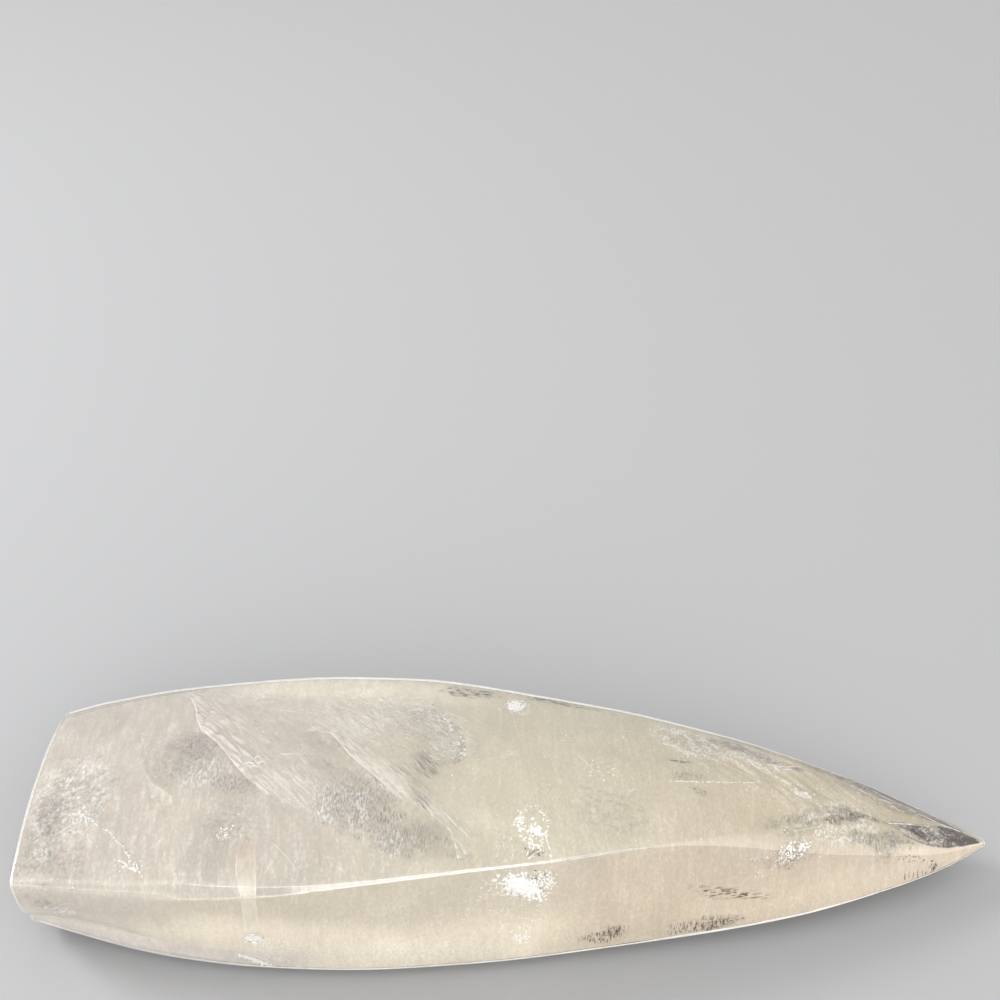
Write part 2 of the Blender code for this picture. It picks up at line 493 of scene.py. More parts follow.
def inside_copy(name, scale, softening, lump_size, lump_height):
    """A shrunken copy of the stone, with its ridges melted away and gentle lumps."""
    piece = welded_copy(name)
    edited(piece, bpy.ops.transform.resize, value=scale, center_override=HEART)
    modified(piece, "REMESH", mode="VOXEL", voxel_size=VOXEL, use_smooth_shade=True)
    modified(piece, "SMOOTH", factor=0.5, iterations=softening)
    lumps = bpy.data.textures.new(name + "_lumps", "CLOUDS")
    lumps.noise_scale = lump_size
    modified(piece, "DISPLACE", texture=lumps, texture_coords="LOCAL", strength=lump_height, mid_level=0.5)
    piece.data.shade_smooth()
    return piece


deep = inside_copy("deep_haze", (0.84, 0.62, 0.56), 12, 0.02, 0.006)
recipe, where = fog("deep_fog")
clouds = recipe.noise(where, 0.02, 4, 0.6, 0.5)
lines = striae(recipe, 0.0011)
share = (clouds * 0.5 + lines * 0.5).ramp(0.34, 0.6)
recipe.feed(Base_Color=recipe.blend(share, ASH, milk_colour(recipe, where)))
seal_in(deep, recipe)

# %% The haze halfway out
middle = inside_copy("middle_haze", (0.93, 0.84, 0.82), 6, 0.025, 0.004)
recipe, where = fog("middle_fog")
clouds = recipe.noise(where, 0.012, 5, 0.6, 0.8)
lines = striae(recipe, 0.0008)
dark = recipe.blend(recipe.noise(where, 0.03).ramp(0.4, 0.6), ASH, LILAC_ASH)
share = (clouds * 0.45 + lines * 0.55).ramp(0.34, 0.54)
recipe.feed(Base_Color=recipe.blend(share, dark, milk_colour(recipe, where)),
            Alpha=(clouds * 0.5 + lines * 0.5).ramp(0.3, 0.6) * 0.5 + 0.4)
seal_in(middle, recipe)

# %% Where the outermost haze is clearer or has threads
HAZE_INSET = 1.1
SLANT = -51
WINDOWS = [  # centre and radii in mm and turn in degrees of the clearer places
    ((-113, -3, 52), (29, 19, 18), -42), ((-62, -14, 54), (40, 18, 18), -52),
    ((-31, -2, 56), (14, 26, 18), 35), ((-32, -40, 52), (30, 14, 14), 0),
    ((-168, -28, 44), (14, 30, 20), 0), ((-104, -38, 48), (22, 24, 14), 0),
]
BACK_THREADS = [
    ((-160, -13, 45), (22, 30, 20), 0), ((-167, -30, 42), (9, 14, 14), 0), ((-58, 42, 50), (26, 8, 14), 4),
    ((-104, 44, 48), (18, 8, 14), 6), ((66, 17, 48), (26, 16, 12), -16), ((88, 15, 44), (18, 11, 12), -24),
    ((116, -12, 36), (28, 13, 16), 10),
]
FLANK_THREADS = [((-28, -56, 12), (60, 16, 14), 0), ((-84, -58, 15), (28, 16, 11), 0)]
UPRIGHT_THREADS = [
    ((-56, -27, 54), (9, 15, 12), 0), ((-66, -24, 54), (12, 16, 12), 0), ((-44, -41, 52), (7, 10, 12), 0),
    ((-112, -5, 52), (17, 13, 12), 0),
]
SLANTED_THREADS = [
    ((-80, -14, 54), (18, 16, 12), SLANT), ((-48, -12, 56), (20, 9, 12), SLANT),
    ((-60, 20, 56), (28, 17, 12), SLANT),
]
THREADS = [  # size in m, stretch, turn in degrees and wave of the noise, how white, then where it shows
    (0.0036, (1.6, 1, 1), 30, 0.8, 0.8, BACK_THREADS),
    (0.0032, (1, 1.8, 1.8), 0, 0.8, 0.55, FLANK_THREADS),
    (0.0018, (1, 4, 4), 4, 0.3, 0.8, UPRIGHT_THREADS),
    (0.0018, (10, 1, 3), SLANT, 0.3, 0.8, SLANTED_THREADS),
]
print("clearer places:", len(WINDOWS), "kinds of thread:", len(THREADS))

# %% The outermost haze
near = welded_copy("near_haze")
inset(near, HAZE_INSET)
polish(near)
recipe, where = fog("near_fog")
grain = recipe.noise(recipe.place(scale=(1, 1.8, 1.8)), 0.0009, 2, 0.6)
combed = recipe.noise(recipe.place(scale=(1, 5, 5), turn=0.05), 0.0025, 5, 0.65, 0.3)
slants = recipe.noise(recipe.place(scale=(5, 1, 2), turn=-0.89), 0.003, 5, 0.62, 0.4)
clouds = recipe.noise(where, 0.028, 4, 0.55, 0.6)
wisps = recipe.noise(recipe.place(scale=(6, 1, 2), turn=-0.62), 0.0026, 5, 0.65, 0.6)
slanted = recipe.patch((-55, 0, 50), (60, 60, 30), 0, 0.7)
wispy = recipe.patch((95, 8, 36), (62, 26, 40), -14, 0.6)
streaks = combed * (1 - slanted) * (1 - wispy) + slants * slanted + wisps * wispy
upright = recipe.node("ShaderNodeTexCoord", output="Normal").part("Z")
lively = 0.5 + where.part("X").ramp(0, -0.06).most(wispy * 2.2) * upright.ramp(0.4, 0.7) * 0.65
clear = recipe.patch(*WINDOWS[0], 1) * 0.85
for window in WINDOWS[1:]:
    clear = clear.most(recipe.patch(*window, 0.9))
clear = (clear + (combed * 0.5 + clouds * 0.5 - 0.5) * 1.8 * clear.ramp(0, 0.3)).ramp(0.1, 0.9)
thick = 0.85 + (grain - 0.5) * 0.3 + (streaks - 0.5) * lively * 0.42 + (clouds - 0.5) * 0.3 - clear * 0.09
milk = milk_colour(recipe, where)
pale = (streaks * 0.6 + grain * 0.4).ramp(0.48, 0.75) * lively * 0.33
white = 0
for size, stretch, turn, wave, share, places in THREADS:
    curl = recipe.noise(recipe.place(scale=stretch, turn=math.radians(turn)), size, 3, 0.6, wave)
    lines = (curl - 0.5).maths("ABSOLUTE").ramp(0.07, 0.02) * grain.ramp(0.4, 0.5)
    spread = recipe.patch(*places[0], 1)
    for place in places[1:]:
        spread = spread.most(recipe.patch(*place, 1))
    white = (lines * (spread + (clouds - 0.5) * 0.8).ramp(0.05, 0.5) * share).most(white)
recipe.feed(Base_Color=recipe.blend(pale.most(white * 0.85), milk, SNOW), Alpha=thick.most(white))
seal_in(near, recipe)

# %% Finding places on the haze
HAZE_DEEPEST = 1.3
haze_tree = BVHTree.FromObject(near, bpy.context.evaluated_depsgraph_get())


def haze_depth(probe, x, aside):
    """How deep the outermost haze lies, in mm; aside is y on the top or height on the flank."""
    start = probe(x, aside, 0)
    met = haze_tree.ray_cast(start, probe(x, aside, 1) - start)[0]
    return min((met - start).length / MM, HAZE_DEEPEST) if met else HAZE_INSET


depths = [round(haze_depth(*place), 2) for place in ((under_top, 0, 0), (under_front, 0, 25))]
print("haze depth in mm, mid top and mid flank:", depths)

# %% [markdown]
# Hand polishing leaves the ridges a hair less clear than the faces, so they show as pale lines, and the
# outline of the stone is rimmed with white. These pale threads are partly that frosting and partly a painted
# highlight, for the light that a polished edge catches. The lines are the sharp edges of one more copy, kept
# when its faces are deleted, turned into a curve and given a round thickness. The front ridge gets finer
# lines than the outline does, so the edges are split by their place first.

# %% Pale ridge lines
SHARP = math.radians(24)


def edge_lines(name, depth, radius, wanted):
    """Round threads along the sharp edges whose middles are wanted."""
    piece = welded_copy(name)
    inset(piece, depth)
    only(piece)
    bpy.ops.object.mode_set(mode="EDIT")
    bpy.ops.mesh.select_mode(type="EDGE")
    bpy.ops.mesh.select_all(action="DESELECT")
    bpy.ops.mesh.edges_select_sharp(sharpness=SHARP)
    mesh = bmesh.from_edit_mesh(piece.data)
    for edge in mesh.edges:
        middle_point = (edge.verts[0].co + edge.verts[1].co) / 2 / MM
        edge.select = edge.select and wanted(*middle_point)
    mesh.select_flush_mode()
    bmesh.update_edit_mesh(piece.data)
    bpy.ops.mesh.select_all(action="INVERT")
    bpy.ops.mesh.delete(type="EDGE")
    bpy.ops.object.mode_set(mode="OBJECT")
    print(name, "edges:", len(piece.data.edges))
    bpy.ops.object.convert(target="CURVE")
    piece.data.bevel_depth = radius * MM
    piece.data.bevel_resolution = 1
    bpy.ops.object.convert(target="MESH")
    return piece


def on_front_ridge(x, y, z):
    """Whether a place in mm is on the bevel between the top and the front flank."""
    height_here = 62 - 0.13 * abs(x + 15)
    return y < 0 and x > -175 and z > 0.62 * height_here


def on_outline(x, y, z):
    """Whether a place in mm is on any other edge."""
    return not on_front_ridge(x, y, z)


def on_shown_ridge(x, y, z):
    """Whether a place in mm is on the stretch of the front ridge that shows a line."""
    return on_front_ridge(x, y, z) and -130 < x < 78


# Pale threads along the outline: partly a frosted edge, partly a painted highlight.
rim_recipe, where = fog("rim_fog", SNOW)
rim_recipe.feed(Alpha=rim_recipe.noise(where, 0.006, 3, 0.6).ramp(0.2, 0.4) * 0.25 + 0.75)
seal_in(edge_lines("rim_lines", 0.52, 0.17, on_outline), rim_recipe)

# Finer pale threads on the front ridge: partly frosting, partly a painted highlight.
recipe, where = fog("ridge_fog", SNOW)
shown = where.part("X").ramp(-0.122, -0.09) * where.part("X").ramp(0.06, 0.01)
recipe.feed(Alpha=(recipe.noise(where, 0.004, 3, 0.6).ramp(0.25, 0.5) * 0.5 + 0.25) * shown)
seal_in(edge_lines("ridge_lines", 0.3, 0.1, on_shown_ridge), recipe)

# %% [markdown]
# Veils are old growth faces and healed cracks: thin curtains of bubbles that come up to the polished
# surface, where each shows as a bright crest, and slope away under it. They could be painted on a
# shell, but then they would not slide over each other as one walks round the stone. So each is a
# grid primitive whose rows are moved to run from the crest down to its foot. The haze fades with the
# sheet's own UV map, from the crest at V 0 to the foot at V 1, with streaks in it.

# %% Sheets that run through the stone
def strung(points, count):
    """count points spread evenly along a line through points."""
    points = [Vector((*p[:2], 0)) for p in points]
    runs = [0]
    for start, end in zip(points, points[1:]):
        runs.append(runs[-1] + (end - start).length)
    spread, leg = [], 0
    for step in range(count):
        at = runs[-1] * step / (count - 1)
        while leg < len(points) - 2 and at > runs[leg + 1]:
            leg += 1
        spread.append(points[leg].lerp(points[leg + 1], (at - runs[leg]) / (runs[leg + 1] - runs[leg])))
    return spread


def sheet(name, rows):
    """A grid primitive whose vertices are moved, row by row, to where the sheet runs."""
    bpy.ops.object.select_all(action="DESELECT")
    bpy.ops.mesh.primitive_grid_add(x_subdivisions=len(rows[0]) - 1, y_subdivisions=len(rows) - 1, size=MM)
    piece = bpy.context.object
    piece.name = name
    piece.data.vertices.foreach_set("co", np.array([tuple(p) for row in rows for p in row]).ravel())
    piece.data.update()
    bpy.ops.object.shade_smooth()
    return piece


print("five points on a line:", [round(point.x, 2) for point in strung([(0, 0), (3, 0), (10, 0)], 5)])

# %% A curtain and its fog
CURTAIN_COLUMNS, CURTAIN_ROWS = 80, 12
ROW_SPREAD = 1.4
CURTAIN_GAP = 0.08


def curtain(name, crest, foot, recipe, depths=(0.5, 0.95), probe=under_top, ragged=0, seed=1):
    """A sheet between two lines on the map of one face, given in mm; depths are at crest and foot."""
    chance = random.Random(seed)
    crest = [point + Vector((chance.gauss(0, ragged) * 0.5, chance.gauss(0, ragged), 0))
             for point in strung(crest, CURTAIN_COLUMNS)]
    foot = strung(foot, CURTAIN_COLUMNS)
    stays_above = depths[1] < HAZE_INSET
    rows = []
    for row in range(CURTAIN_ROWS):
        share = (row / (CURTAIN_ROWS - 1)) ** ROW_SPREAD
        depth = depths[0] + (depths[1] - depths[0]) * share
        places = [start.lerp(end, share)[:2] for start, end in zip(crest, foot)]
        limits = [depth] * CURTAIN_COLUMNS
        if stays_above:
            limits = [haze_depth(probe, *place) - CURTAIN_GAP for place in places]
        rows.append([probe(*place, min(depth, limit)) for place, limit in zip(places, limits)])
    seal_in(sheet(name, rows), recipe)


def drift(name, tint, base, lines, size, stretch, turn=0, cut=(0.42, 0.62), fade=1, rim=0.08, glow=0,
          lumpy=(0.22, 0.5)):
    """Haze that is thickest along the crest; base is its even part and lines its streaky part."""
    recipe, where = fog(name)
    along, away = recipe.sheet_axes()
    streaks = recipe.noise(recipe.place(scale=stretch, turn=math.radians(turn)), size, 4, 0.65, 0.3)
    lumps = recipe.noise(where, 0.007, 3, 0.6)
    ends = along.ramp(0, rim) * along.ramp(1, 1 - rim)
    body = (1 - away).most(0) ** fade * ends * lumps.ramp(*lumpy)
    crest = away.ramp(0.045, 0) * ends * (streaks * 0.5 + lumps * 0.5).ramp(0.3, 0.5) * glow
    milky = recipe.blend((streaks.ramp(0.5, 0.7) * 0.5).most(crest), tint, SNOW if glow else tint)
    recipe.feed(Base_Color=milky, Alpha=(body * (streaks.ramp(*cut) * lines + base) + crest).least(1))
    return recipe


print("vertices in a curtain:", CURTAIN_COLUMNS * CURTAIN_ROWS)

# %% Where the veils run
CREST_1 = [(-132.8, 52.9), (-126.6, 45.1), (-123.2, 35.6), (-121.3, 26.7), (-118, 18.5), (-112.2, 12),
           (-106.3, 3.2), (-102.7, -3.2), (-97.9, -9.9), (-92.7, -15.6), (-88.5, -21)]
FOOT_1 = [(-112, 52), (-100, 48), (-87.7, 42), (-80.6, 33), (-75.5, 24.3), (-76.5, 15.5), (-76.8, 7.3),
          (-74.1, 0.6), (-70.1, -8.5), (-68, -19.1), (-70, -28)]
CREST_2 = [(-80, 14.4), (-76.1, 14.2), (-73.1, 13.7), (-68.8, 11.8), (-65, 6.1), (-61.2, -0.9),
           (-56.1, -7), (-51.3, -12.3), (-47.8, -16.4), (-43.1, -22.1), (-37, -26.7)]
FOOT_2 = [(-66.9, 46), (-52.9, 42), (-44, 35.1), (-40.1, 23.7), (-38.6, 13.8), (-37, 5.8), (-34.7, -3.5),
          (-32.5, -10), (-29.5, -17), (-28, -22)]
FAN_CREST = [(-37, -26.7), (-32.9, -28.8), (-28.8, -32), (-24.8, -36.5), (-22.1, -41.8), (-20.7, -49)]
FAN_FOOT = [(-30.2, -18), (-22.1, -25.2), (-14.4, -31.4), (-10.5, -36.3), (-8.9, -40.8), (-8, -44.5)]
CREST_3 = [(-141.8, 24), (-141.8, 20.8), (-139.2, 11.2), (-136.3, 0.1), (-134.5, -5), (-130.9, -10),
           (-127, -13.6), (-122.2, -18.1)]
FOOT_3 = [(-158, 24), (-158, 18), (-155, 8.2), (-152.8, -3.5), (-147.4, -12.7), (-141.2, -19.4),
          (-133.8, -25.9), (-126.8, -29.9)]
PHANTOM = [(-54.5, 40.9), (-44.7, 37), (-36.1, 33.3), (-27.5, 22.3), (-19.9, 12.7), (-18.5, 4), (-19, -3),
           (-24.4, -10)]
PHANTOM_IN = [(-60, 30), (-54, 22), (-48, 17), (-43, 10), (-39, 5.6), (-37, 0.8), (-35, -4), (-33, -10)]
PHANTOM_OUT = [(-40, 48), (-30, 45), (-20, 42), (-10, 32), (-3, 22.6), (0, 10.8), (-3, 2), (-8, -6)]
print("veil crests, points:", len(CREST_1), len(CREST_2), len(CREST_3), len(FAN_CREST), len(PHANTOM))

# %% Veils
COMBED = (9, 1, 3)
DEEP = (1.5, 11)


def veil(name, crest, foot, base, lines, size, stretch=COMBED, turn=SLANT, ragged=0.2, **look):
    """A bright curtain just under the skin, with a fog of its own."""
    bright = drift(name + "_fog", BRIGHT_MILK, base, lines, size, stretch, turn, **look)
    curtain(name, crest, foot, bright, ragged=ragged)


def deep_veil(number, crest, foot):
    """The creamy curtain that goes on below a veil, far into the stone."""
    creamy = drift(f"deep_{number}_fog", CREAM_MILK, 0.6, 0.4, 0.003, (5, 1, 3), SLANT)
    curtain(f"veil_{number}_deep", crest, foot, creamy, DEEP)


veil("veil_1", CREST_1, FOOT_1, 0.42, 0.5, 0.0011, fade=0.8, rim=0.03, glow=0.75)
deep_veil(1, CREST_1, FOOT_1)
veil("veil_2", CREST_2, FOOT_2, 0.3, 0.45, 0.0012, ragged=0.12, rim=0.03, glow=0.7)
deep_veil(2, CREST_2, FOOT_2)
veil("veil_fan", FAN_CREST, FAN_FOOT, 0.25, 0.55, 0.001, turn=-60, ragged=0.1, cut=(0.46, 0.6), fade=0.9,
     rim=0.05, glow=0.6)
veil("veil_3", CREST_3, FOOT_3, 0.3, 0.1, 0.002, (1, 5, 3), 0, fade=1.5, rim=0.1, glow=0.5)
veil("phantom", PHANTOM, PHANTOM_OUT, 0.4, 0.1, 0.002, (5, 1, 3), -45, 0.1, fade=1.2, rim=0.15, glow=0.25)
mottle = drift("mottle_fog", SNOW, 0, 0.85, 0.0012, (1.6, 1, 1), -45, (0.48, 0.6), 0.5, 0.15)
curtain("phantom_mottle", PHANTOM, PHANTOM_IN, mottle, (0.52, 0.9))

# %% Feathers between the veils
FEATHERS = [
    [(-94.8, 23.3), (-86, 9), (-78.9, -2.7), (-66.3, -23.2)],
    [(-87, 37.7), (-77, 24), (-69.2, 11.1), (-58.5, -9.1)],
    [(-99.2, 13.8), (-92, 0.5), (-85.4, -10.1), (-77, -22.7)],
    [(-66, 30), (-55, 17), (-47, 3), (-41, -9)],
    [(-110, 40), (-101, 27), (-94, 12), (-90, -2)],
]
for i, line in enumerate(FEATHERS):
    feathery = drift("feather_fog_" + str(i), BRIGHT_MILK, 0.16, 0.5, 0.0011, COMBED, SLANT - 4 + 2 * i,
                     (0.46, 0.62), 1.2, 0.4, 0.35)
    beside = [(x + 10, y + 6) for x, y in line]
    curtain("feather_" + str(i), line, beside, feathery, (0.8, 1), ragged=0.25, seed=i + 5)

# %% Painted shade in the clearer places
SHADE_1_OUT = [(-140, 25), (-137, 14), (-133.3, 2), (-128.1, -8.4), (-119.9, -15.3), (-110.1, -20.8),
               (-99.4, -27.5)]
SHADE_2_OUT = [(-92, 10), (-88, 3), (-80, -4), (-74.5, -11), (-66, -17), (-57, -25), (-47, -33)]
SHADE_3_OUT = [(x + 13, y + 6) for x, y in CREST_3[2:]]
SHADE_FAN_OUT = [(-46, -32), (-43, -36), (-39, -40), (-36, -43), (-34, -46), (-32, -48)]
WEDGE = [(-49.6, -6.1), (-43.8, -13.8), (-36, -24.7), (-31, -30)]
WEDGE_OUT = [(-41.1, -3.6), (-35, -12.1), (-30.4, -21.1), (-26, -27)]
FLAME = [(-40.4, 0.5), (-36.5, -4.9), (-32.2, -13.6)]
FLAME_OUT = [(-34.5, 1.5), (-30.5, -5), (-27.5, -13.1)]
BRIGHT_WEDGE = [(-136.3, 0.1), (-134.5, -5), (-130.9, -10), (-122.4, -17.9)]
BRIGHT_WEDGE_OUT = [(-131.5, -18), (-130.5, -21), (-128, -24), (-121, -26.5)]
SLATE = (0.3, 0.275, 0.265, 1)
FINE_COMB = {"size": 0.0005, "stretch": (1, 4, 4), "lumpy": (0.34, 0.66)}


def shade(name, crest, foot, base, lines, ragged=0, **look):
    """A thin dark sheet just above the milky haze: painted shade for the darker depth seen through a clearer
    place, with streaks in it.
    """
    curtain(name, crest, foot, drift(name + "_fog", SLATE, base, lines, **look), (1, 1), ragged=ragged)


shade("shade_1", CREST_1[4:], SHADE_1_OUT, 0.02, 0.2, 0.3, turn=2, fade=0.55, rim=0.12, **FINE_COMB)
shade("shade_2", CREST_2[1:], SHADE_2_OUT, 0.03, 0.3, 0.2, turn=4, fade=0.6, rim=0.12, **FINE_COMB)
shade("shade_3", CREST_3[2:], SHADE_3_OUT, 0.02, 0.2, 0.3, rim=0.45, **FINE_COMB)
shade("shade_phantom", PHANTOM[2:], PHANTOM_IN[2:], 0.04, 0.4, size=0.0008, stretch=(5, 1, 2), turn=-50,
      cut=(0.45, 0.62), fade=0.7, rim=0.15)
shade("shade_fan", FAN_CREST, SHADE_FAN_OUT, 0.02, 0.26, turn=5, fade=0.8, rim=0.1, **FINE_COMB)
shade("shade_wedge", WEDGE, WEDGE_OUT, 0, 0.65, size=0.0009, stretch=(12, 1, 3), turn=SLANT,
      cut=(0.48, 0.6), fade=0.3, rim=0.15)
shade("shade_flame", FLAME, FLAME_OUT, 0.08, 0.5, size=0.001, stretch=(6, 1, 3), turn=SLANT,
      cut=(0.46, 0.6), fade=0.3, rim=0.2)
bright_fog = drift("bright_wedge_fog", BRIGHT_MILK, 0.55, 0.3, 0.0015, (1, 3, 3), 0, fade=0.5, rim=0.1)
curtain("bright_wedge", BRIGHT_WEDGE, BRIGHT_WEDGE_OUT, bright_fog, (0.56, 0.7))

# %% [markdown]
# Along its outline the stone is rimmed with white, because there one looks along the polished edge. Two
# narrow white ribbons follow the back ridge and the front foot, as a painted highlight for that bright edge.
# Where they run is measured on the skin itself, by sweeping a probe in from outside until it meets the right
# face.

# %% White rims
BACK_START, BACK_STEP, BACK_TRIES = 62, 0.25, 260
FOOT_START, FOOT_STEP, FOOT_TRIES = 0.5, 0.15, 200
FACES_THE_PROBE = 0.8
RIM_STEPS = 100
RIM_DEPTH = 0.36
RIM_TAPER = 60


def back_edge(x):
    """Y in mm of the back edge of the top face at x, or 0 where there is none."""
    for step in range(BACK_TRIES):
        y = BACK_START - step * BACK_STEP
        near_point, normal, _, _ = skin_tree.ray_cast(Vector((x, y, OUTSIDE)) * MM, Vector((0, 0, -1)))
        if near_point and normal.z > FACES_THE_PROBE:
            return y
    return 0


def front_foot(x):
    """Height in mm of the lower edge of the front flank at x, or 15 where there is none."""
    for step in range(FOOT_TRIES):
        z = FOOT_START + step * FOOT_STEP
        near_point, normal, _, _ = skin_tree.ray_cast(Vector((x, -OUTSIDE, z)) * MM, Vector((0, 1, 0)))
        if near_point and normal.y < -FACES_THE_PROBE:
            return z
    return 15


# The rims share the white finish of the outline threads, as a painted highlight along the edge.
RIMS = [  # name, probe, edge, first and last x, gap from the edge and width in mm
    ("back_rim", under_top, back_edge, -175, 126, -0.4, -1.5),
    ("foot_rim", under_front, front_foot, -173, 168, 0.25, 0.7),
]
for name, probe, edge, start, end, gap, width in RIMS:
    stations = [start + (end - start) * i / RIM_STEPS for i in range(RIM_STEPS + 1)]
    rows = [[probe(x, edge(x) + gap + width * share * min(1, (end + 8 - x) / RIM_TAPER), RIM_DEPTH)
             for x in stations] for share in (0, 0.5, 1)]
    seal_in(sheet(name, rows), rim_recipe)

# %% [markdown]
# A healed crack is a jagged wall that stands nearly upright in the stone, so from above it is a thin
# broken white line. The thin straight lines are the edges of growth layers. Each is a narrow strip,
# laid out from its own few points, then all are joined into one piece.

# %% Strips along a line
STRIP_STEP = 0.7
STRIP_DROP = 0.1


def strip(line, width, depth, drop, wander, seed, probe=under_top):
    """A narrow strip along a line in mm, depth mm under the skin; drop lowers its far edge."""
    chance = random.Random(seed)
    length = sum((Vector(b) - Vector(a)).length for a, b in zip(line, line[1:]))
    count = max(4, int(length / STRIP_STEP))
    path = [point + Vector((chance.gauss(0, wander), chance.gauss(0, wander), 0))
            for point in strung(line, count)]
    near_row, far_row = [], []
    for i, point in enumerate(path):
        ahead = (path[min(i + 1, count - 1)] - path[max(i - 1, 0)]).normalized()
        aside = Vector((-ahead.y, ahead.x, 0)) * width / 2 * (0.4 + 1.1 * chance.random())
        near_row.append(probe(*(point + aside)[:2], depth))
        far_row.append(probe(*(point - aside)[:2], depth + drop))
    return sheet("strip", [near_row, far_row])


def strips(lines, width, depth, wander, probe=under_top, seed=0):
    """Strips along several lines, each with a seed of its own."""
    return [strip(line, width, depth, STRIP_DROP, wander, seed + i, probe) for i, line in enumerate(lines)]


def joined(name, pieces):
    """Several pieces made one."""
    bpy.ops.object.select_all(action="DESELECT")
    for piece in pieces:
        piece.select_set(True)
    bpy.context.view_layer.objects.active = pieces[0]
    bpy.ops.object.join()
    bpy.context.object.name = name
    return bpy.context.object


def line_fog(name, size, low, high, strength, tint=SNOW):
    """A line of one tint, broken up by noise."""
    recipe, where = fog(name, tint)
    recipe.feed(Alpha=recipe.noise(where, size, 3, 0.7).ramp(low, high) * strength)
    return recipe


print("about", round(1 / STRIP_STEP, 1), "points on each mm of a strip")

# %% Healed crack
CRACK = [(-156.4, -20.8), (-154.2, -23), (-151.3, -24.6), (-149, -27.5), (-145.9, -29.1), (-143.8, -30.9),
         (-141.6, -33.3), (-139.7, -35.7), (-138.1, -37.3), (-136.5, -39.6), (-134.4, -43.1),
         (-132.4, -45.5), (-130.6, -47.1), (-129.2, -49.8)]
BRANCHES = [
    [(-156.4, -20.8), (-154.8, -19.3), (-154.4, -18)], [(-156.4, -20.8), (-158.6, -21.8), (-160.2, -21.2)],
    [(-154.2, -23), (-152.6, -26), (-152, -27.8)],
    [(-139.1, -42.2), (-136.3, -44), (-133.3, -45.8), (-129.8, -48)],
    [(-138, -44.6), (-135.2, -45.2), (-132.6, -47)],
    [(-136.5, -39.6), (-135, -41), (-134.6, -44.5), (-131.5, -47.8)],
]
cracks = [strip(CRACK, 0.36, 0.5, STRIP_DROP, 0.2, 5), strip(CRACK, 0.8, 0.6, 3.5, 0.25, 5)]
cracks += strips(BRANCHES, 0.3, 0.52, 0.15)
seal_in(joined("healed_crack", cracks), line_fog("crack_fog", 0.0013, 0.36, 0.52, 0.95))

# %% Fine and bold lines
FINE_LINES = [
    [(-91.8, -5.6), (-83.4, -16.4), (-71.9, -30.1)], [(-86, -3), (-78, -12.5), (-70, -22)],
    [(-79, -1), (-70.5, -12.5), (-66, -19)], [(-90.6, 1.1), (-82, 1), (-73.3, 0.2)],
    [(-78.4, -22.3), (-74.9, -26.5), (-71, -31.1)], [(-84.4, -40.9), (-79.8, -46.1), (-75.9, -51.2)],
    [(-93.2, 26.1), (-88.4, 30), (-83.6, 27.9), (-79.3, 30.5)],
    [(-84.4, 35.8), (-78.8, 40.3), (-74.6, 37.3), (-71.9, 41.4)], [(-104, 40), (-96, 36.5), (-88, 38.5)],
    [(-70, 38.5), (-60, 35), (-50, 28)], [(-66, 30), (-58, 24), (-50, 15)],
    [(-114.5, -31.6), (-113.8, -34.5), (-112.7, -37.5)],
    [(-103.5, -32.6), (-101.2, -33.6), (-98.1, -36.4)],
    [(-171.1, -25), (-167.5, -32.1), (-162.3, -40.5), (-158.2, -48)], [(-170.1, -26.4), (-164.3, -35.6)],
    [(-172.1, -39.4), (-169.7, -37.3), (-166.1, -35.4)],
    [(36.8, -14.6), (38.7, -13.4), (40, -15.6), (43.8, -12.7)], [(1.4, -13.3), (6, -16.8), (10.2, -19.6)],
    [(20.8, 2.7), (25.5, -3.5), (29.5, -9.9)], [(-24.5, -31.8), (-19, -37.8), (-14.7, -43)],
    [(-26.8, -33), (-22.5, -38.8), (-19.2, -44), (-18, -47.4)], [(-31, -27), (-25, -31), (-17.5, -38.8)],
    [(98, -21), (104, -18), (112, -14.5)], [(20, 22), (34, 20), (50, 17.5)],
]
BOLD_LINES = [
    [(55, -8.2), (66.1, -6.3), (77.4, -4.2), (87.8, -1.5)], [(94.3, 10.7), (100.4, 12.5), (107.6, 16.2)],
    [(98.9, 10.5), (103.4, 11.8)], [(95.5, 4.6), (98, 3.2), (101.6, 2.4)],
    [(97.1, 2.6), (99.2, 2), (101.6, 0.7)], [(102.8, -1.6), (105.3, -1), (107.3, -2.8), (108.4, -2.3)],
    [(102, -2.8), (104.6, -3.4), (107, -3.6)],
    [(58.5, 23), (63.4, 22.3), (65.6, 18.3), (70.9, 21), (75.6, 15.8)],
    [(52.7, 13.2), (58.6, 12.7), (66.4, 7.7)], [(56, 25), (60, 24), (64, 26)],
    [(60, 10.5), (63.5, 8), (62, 5)], [(9.2, -35.9), (10.2, -40.8), (11.2, -45.4)],
    [(2.2, -46.2), (3.9, -43.1), (6.7, -41.4), (7.7, -42.8), (5.3, -44.8), (3.1, -46.8)],
    [(-101.2, -1.6), (-99.2, -3.8), (-97.6, -2.2), (-96, -3.6)],
    [(-95.7, -0.6), (-94.6, 1.2), (-93.2, -1.4)], [(-94.2, -3.4), (-92.6, -2.2), (-91.6, -3.9)],
    [(-98, -5), (-95.4, -4.6), (-94, -5.4)],
]
fine_fog = line_fog("fine_line_fog", 0.004, 0.3, 0.55, 0.5)
seal_in(joined("fine_lines", strips(FINE_LINES, 0.3, 0.55, 0.1)), fine_fog)
bold_fog = line_fog("bold_line_fog", 0.0015, 0.34, 0.5, 0.9)
seal_in(joined("bold_lines", strips(BOLD_LINES, 0.42, 0.5, 0.14)), bold_fog)

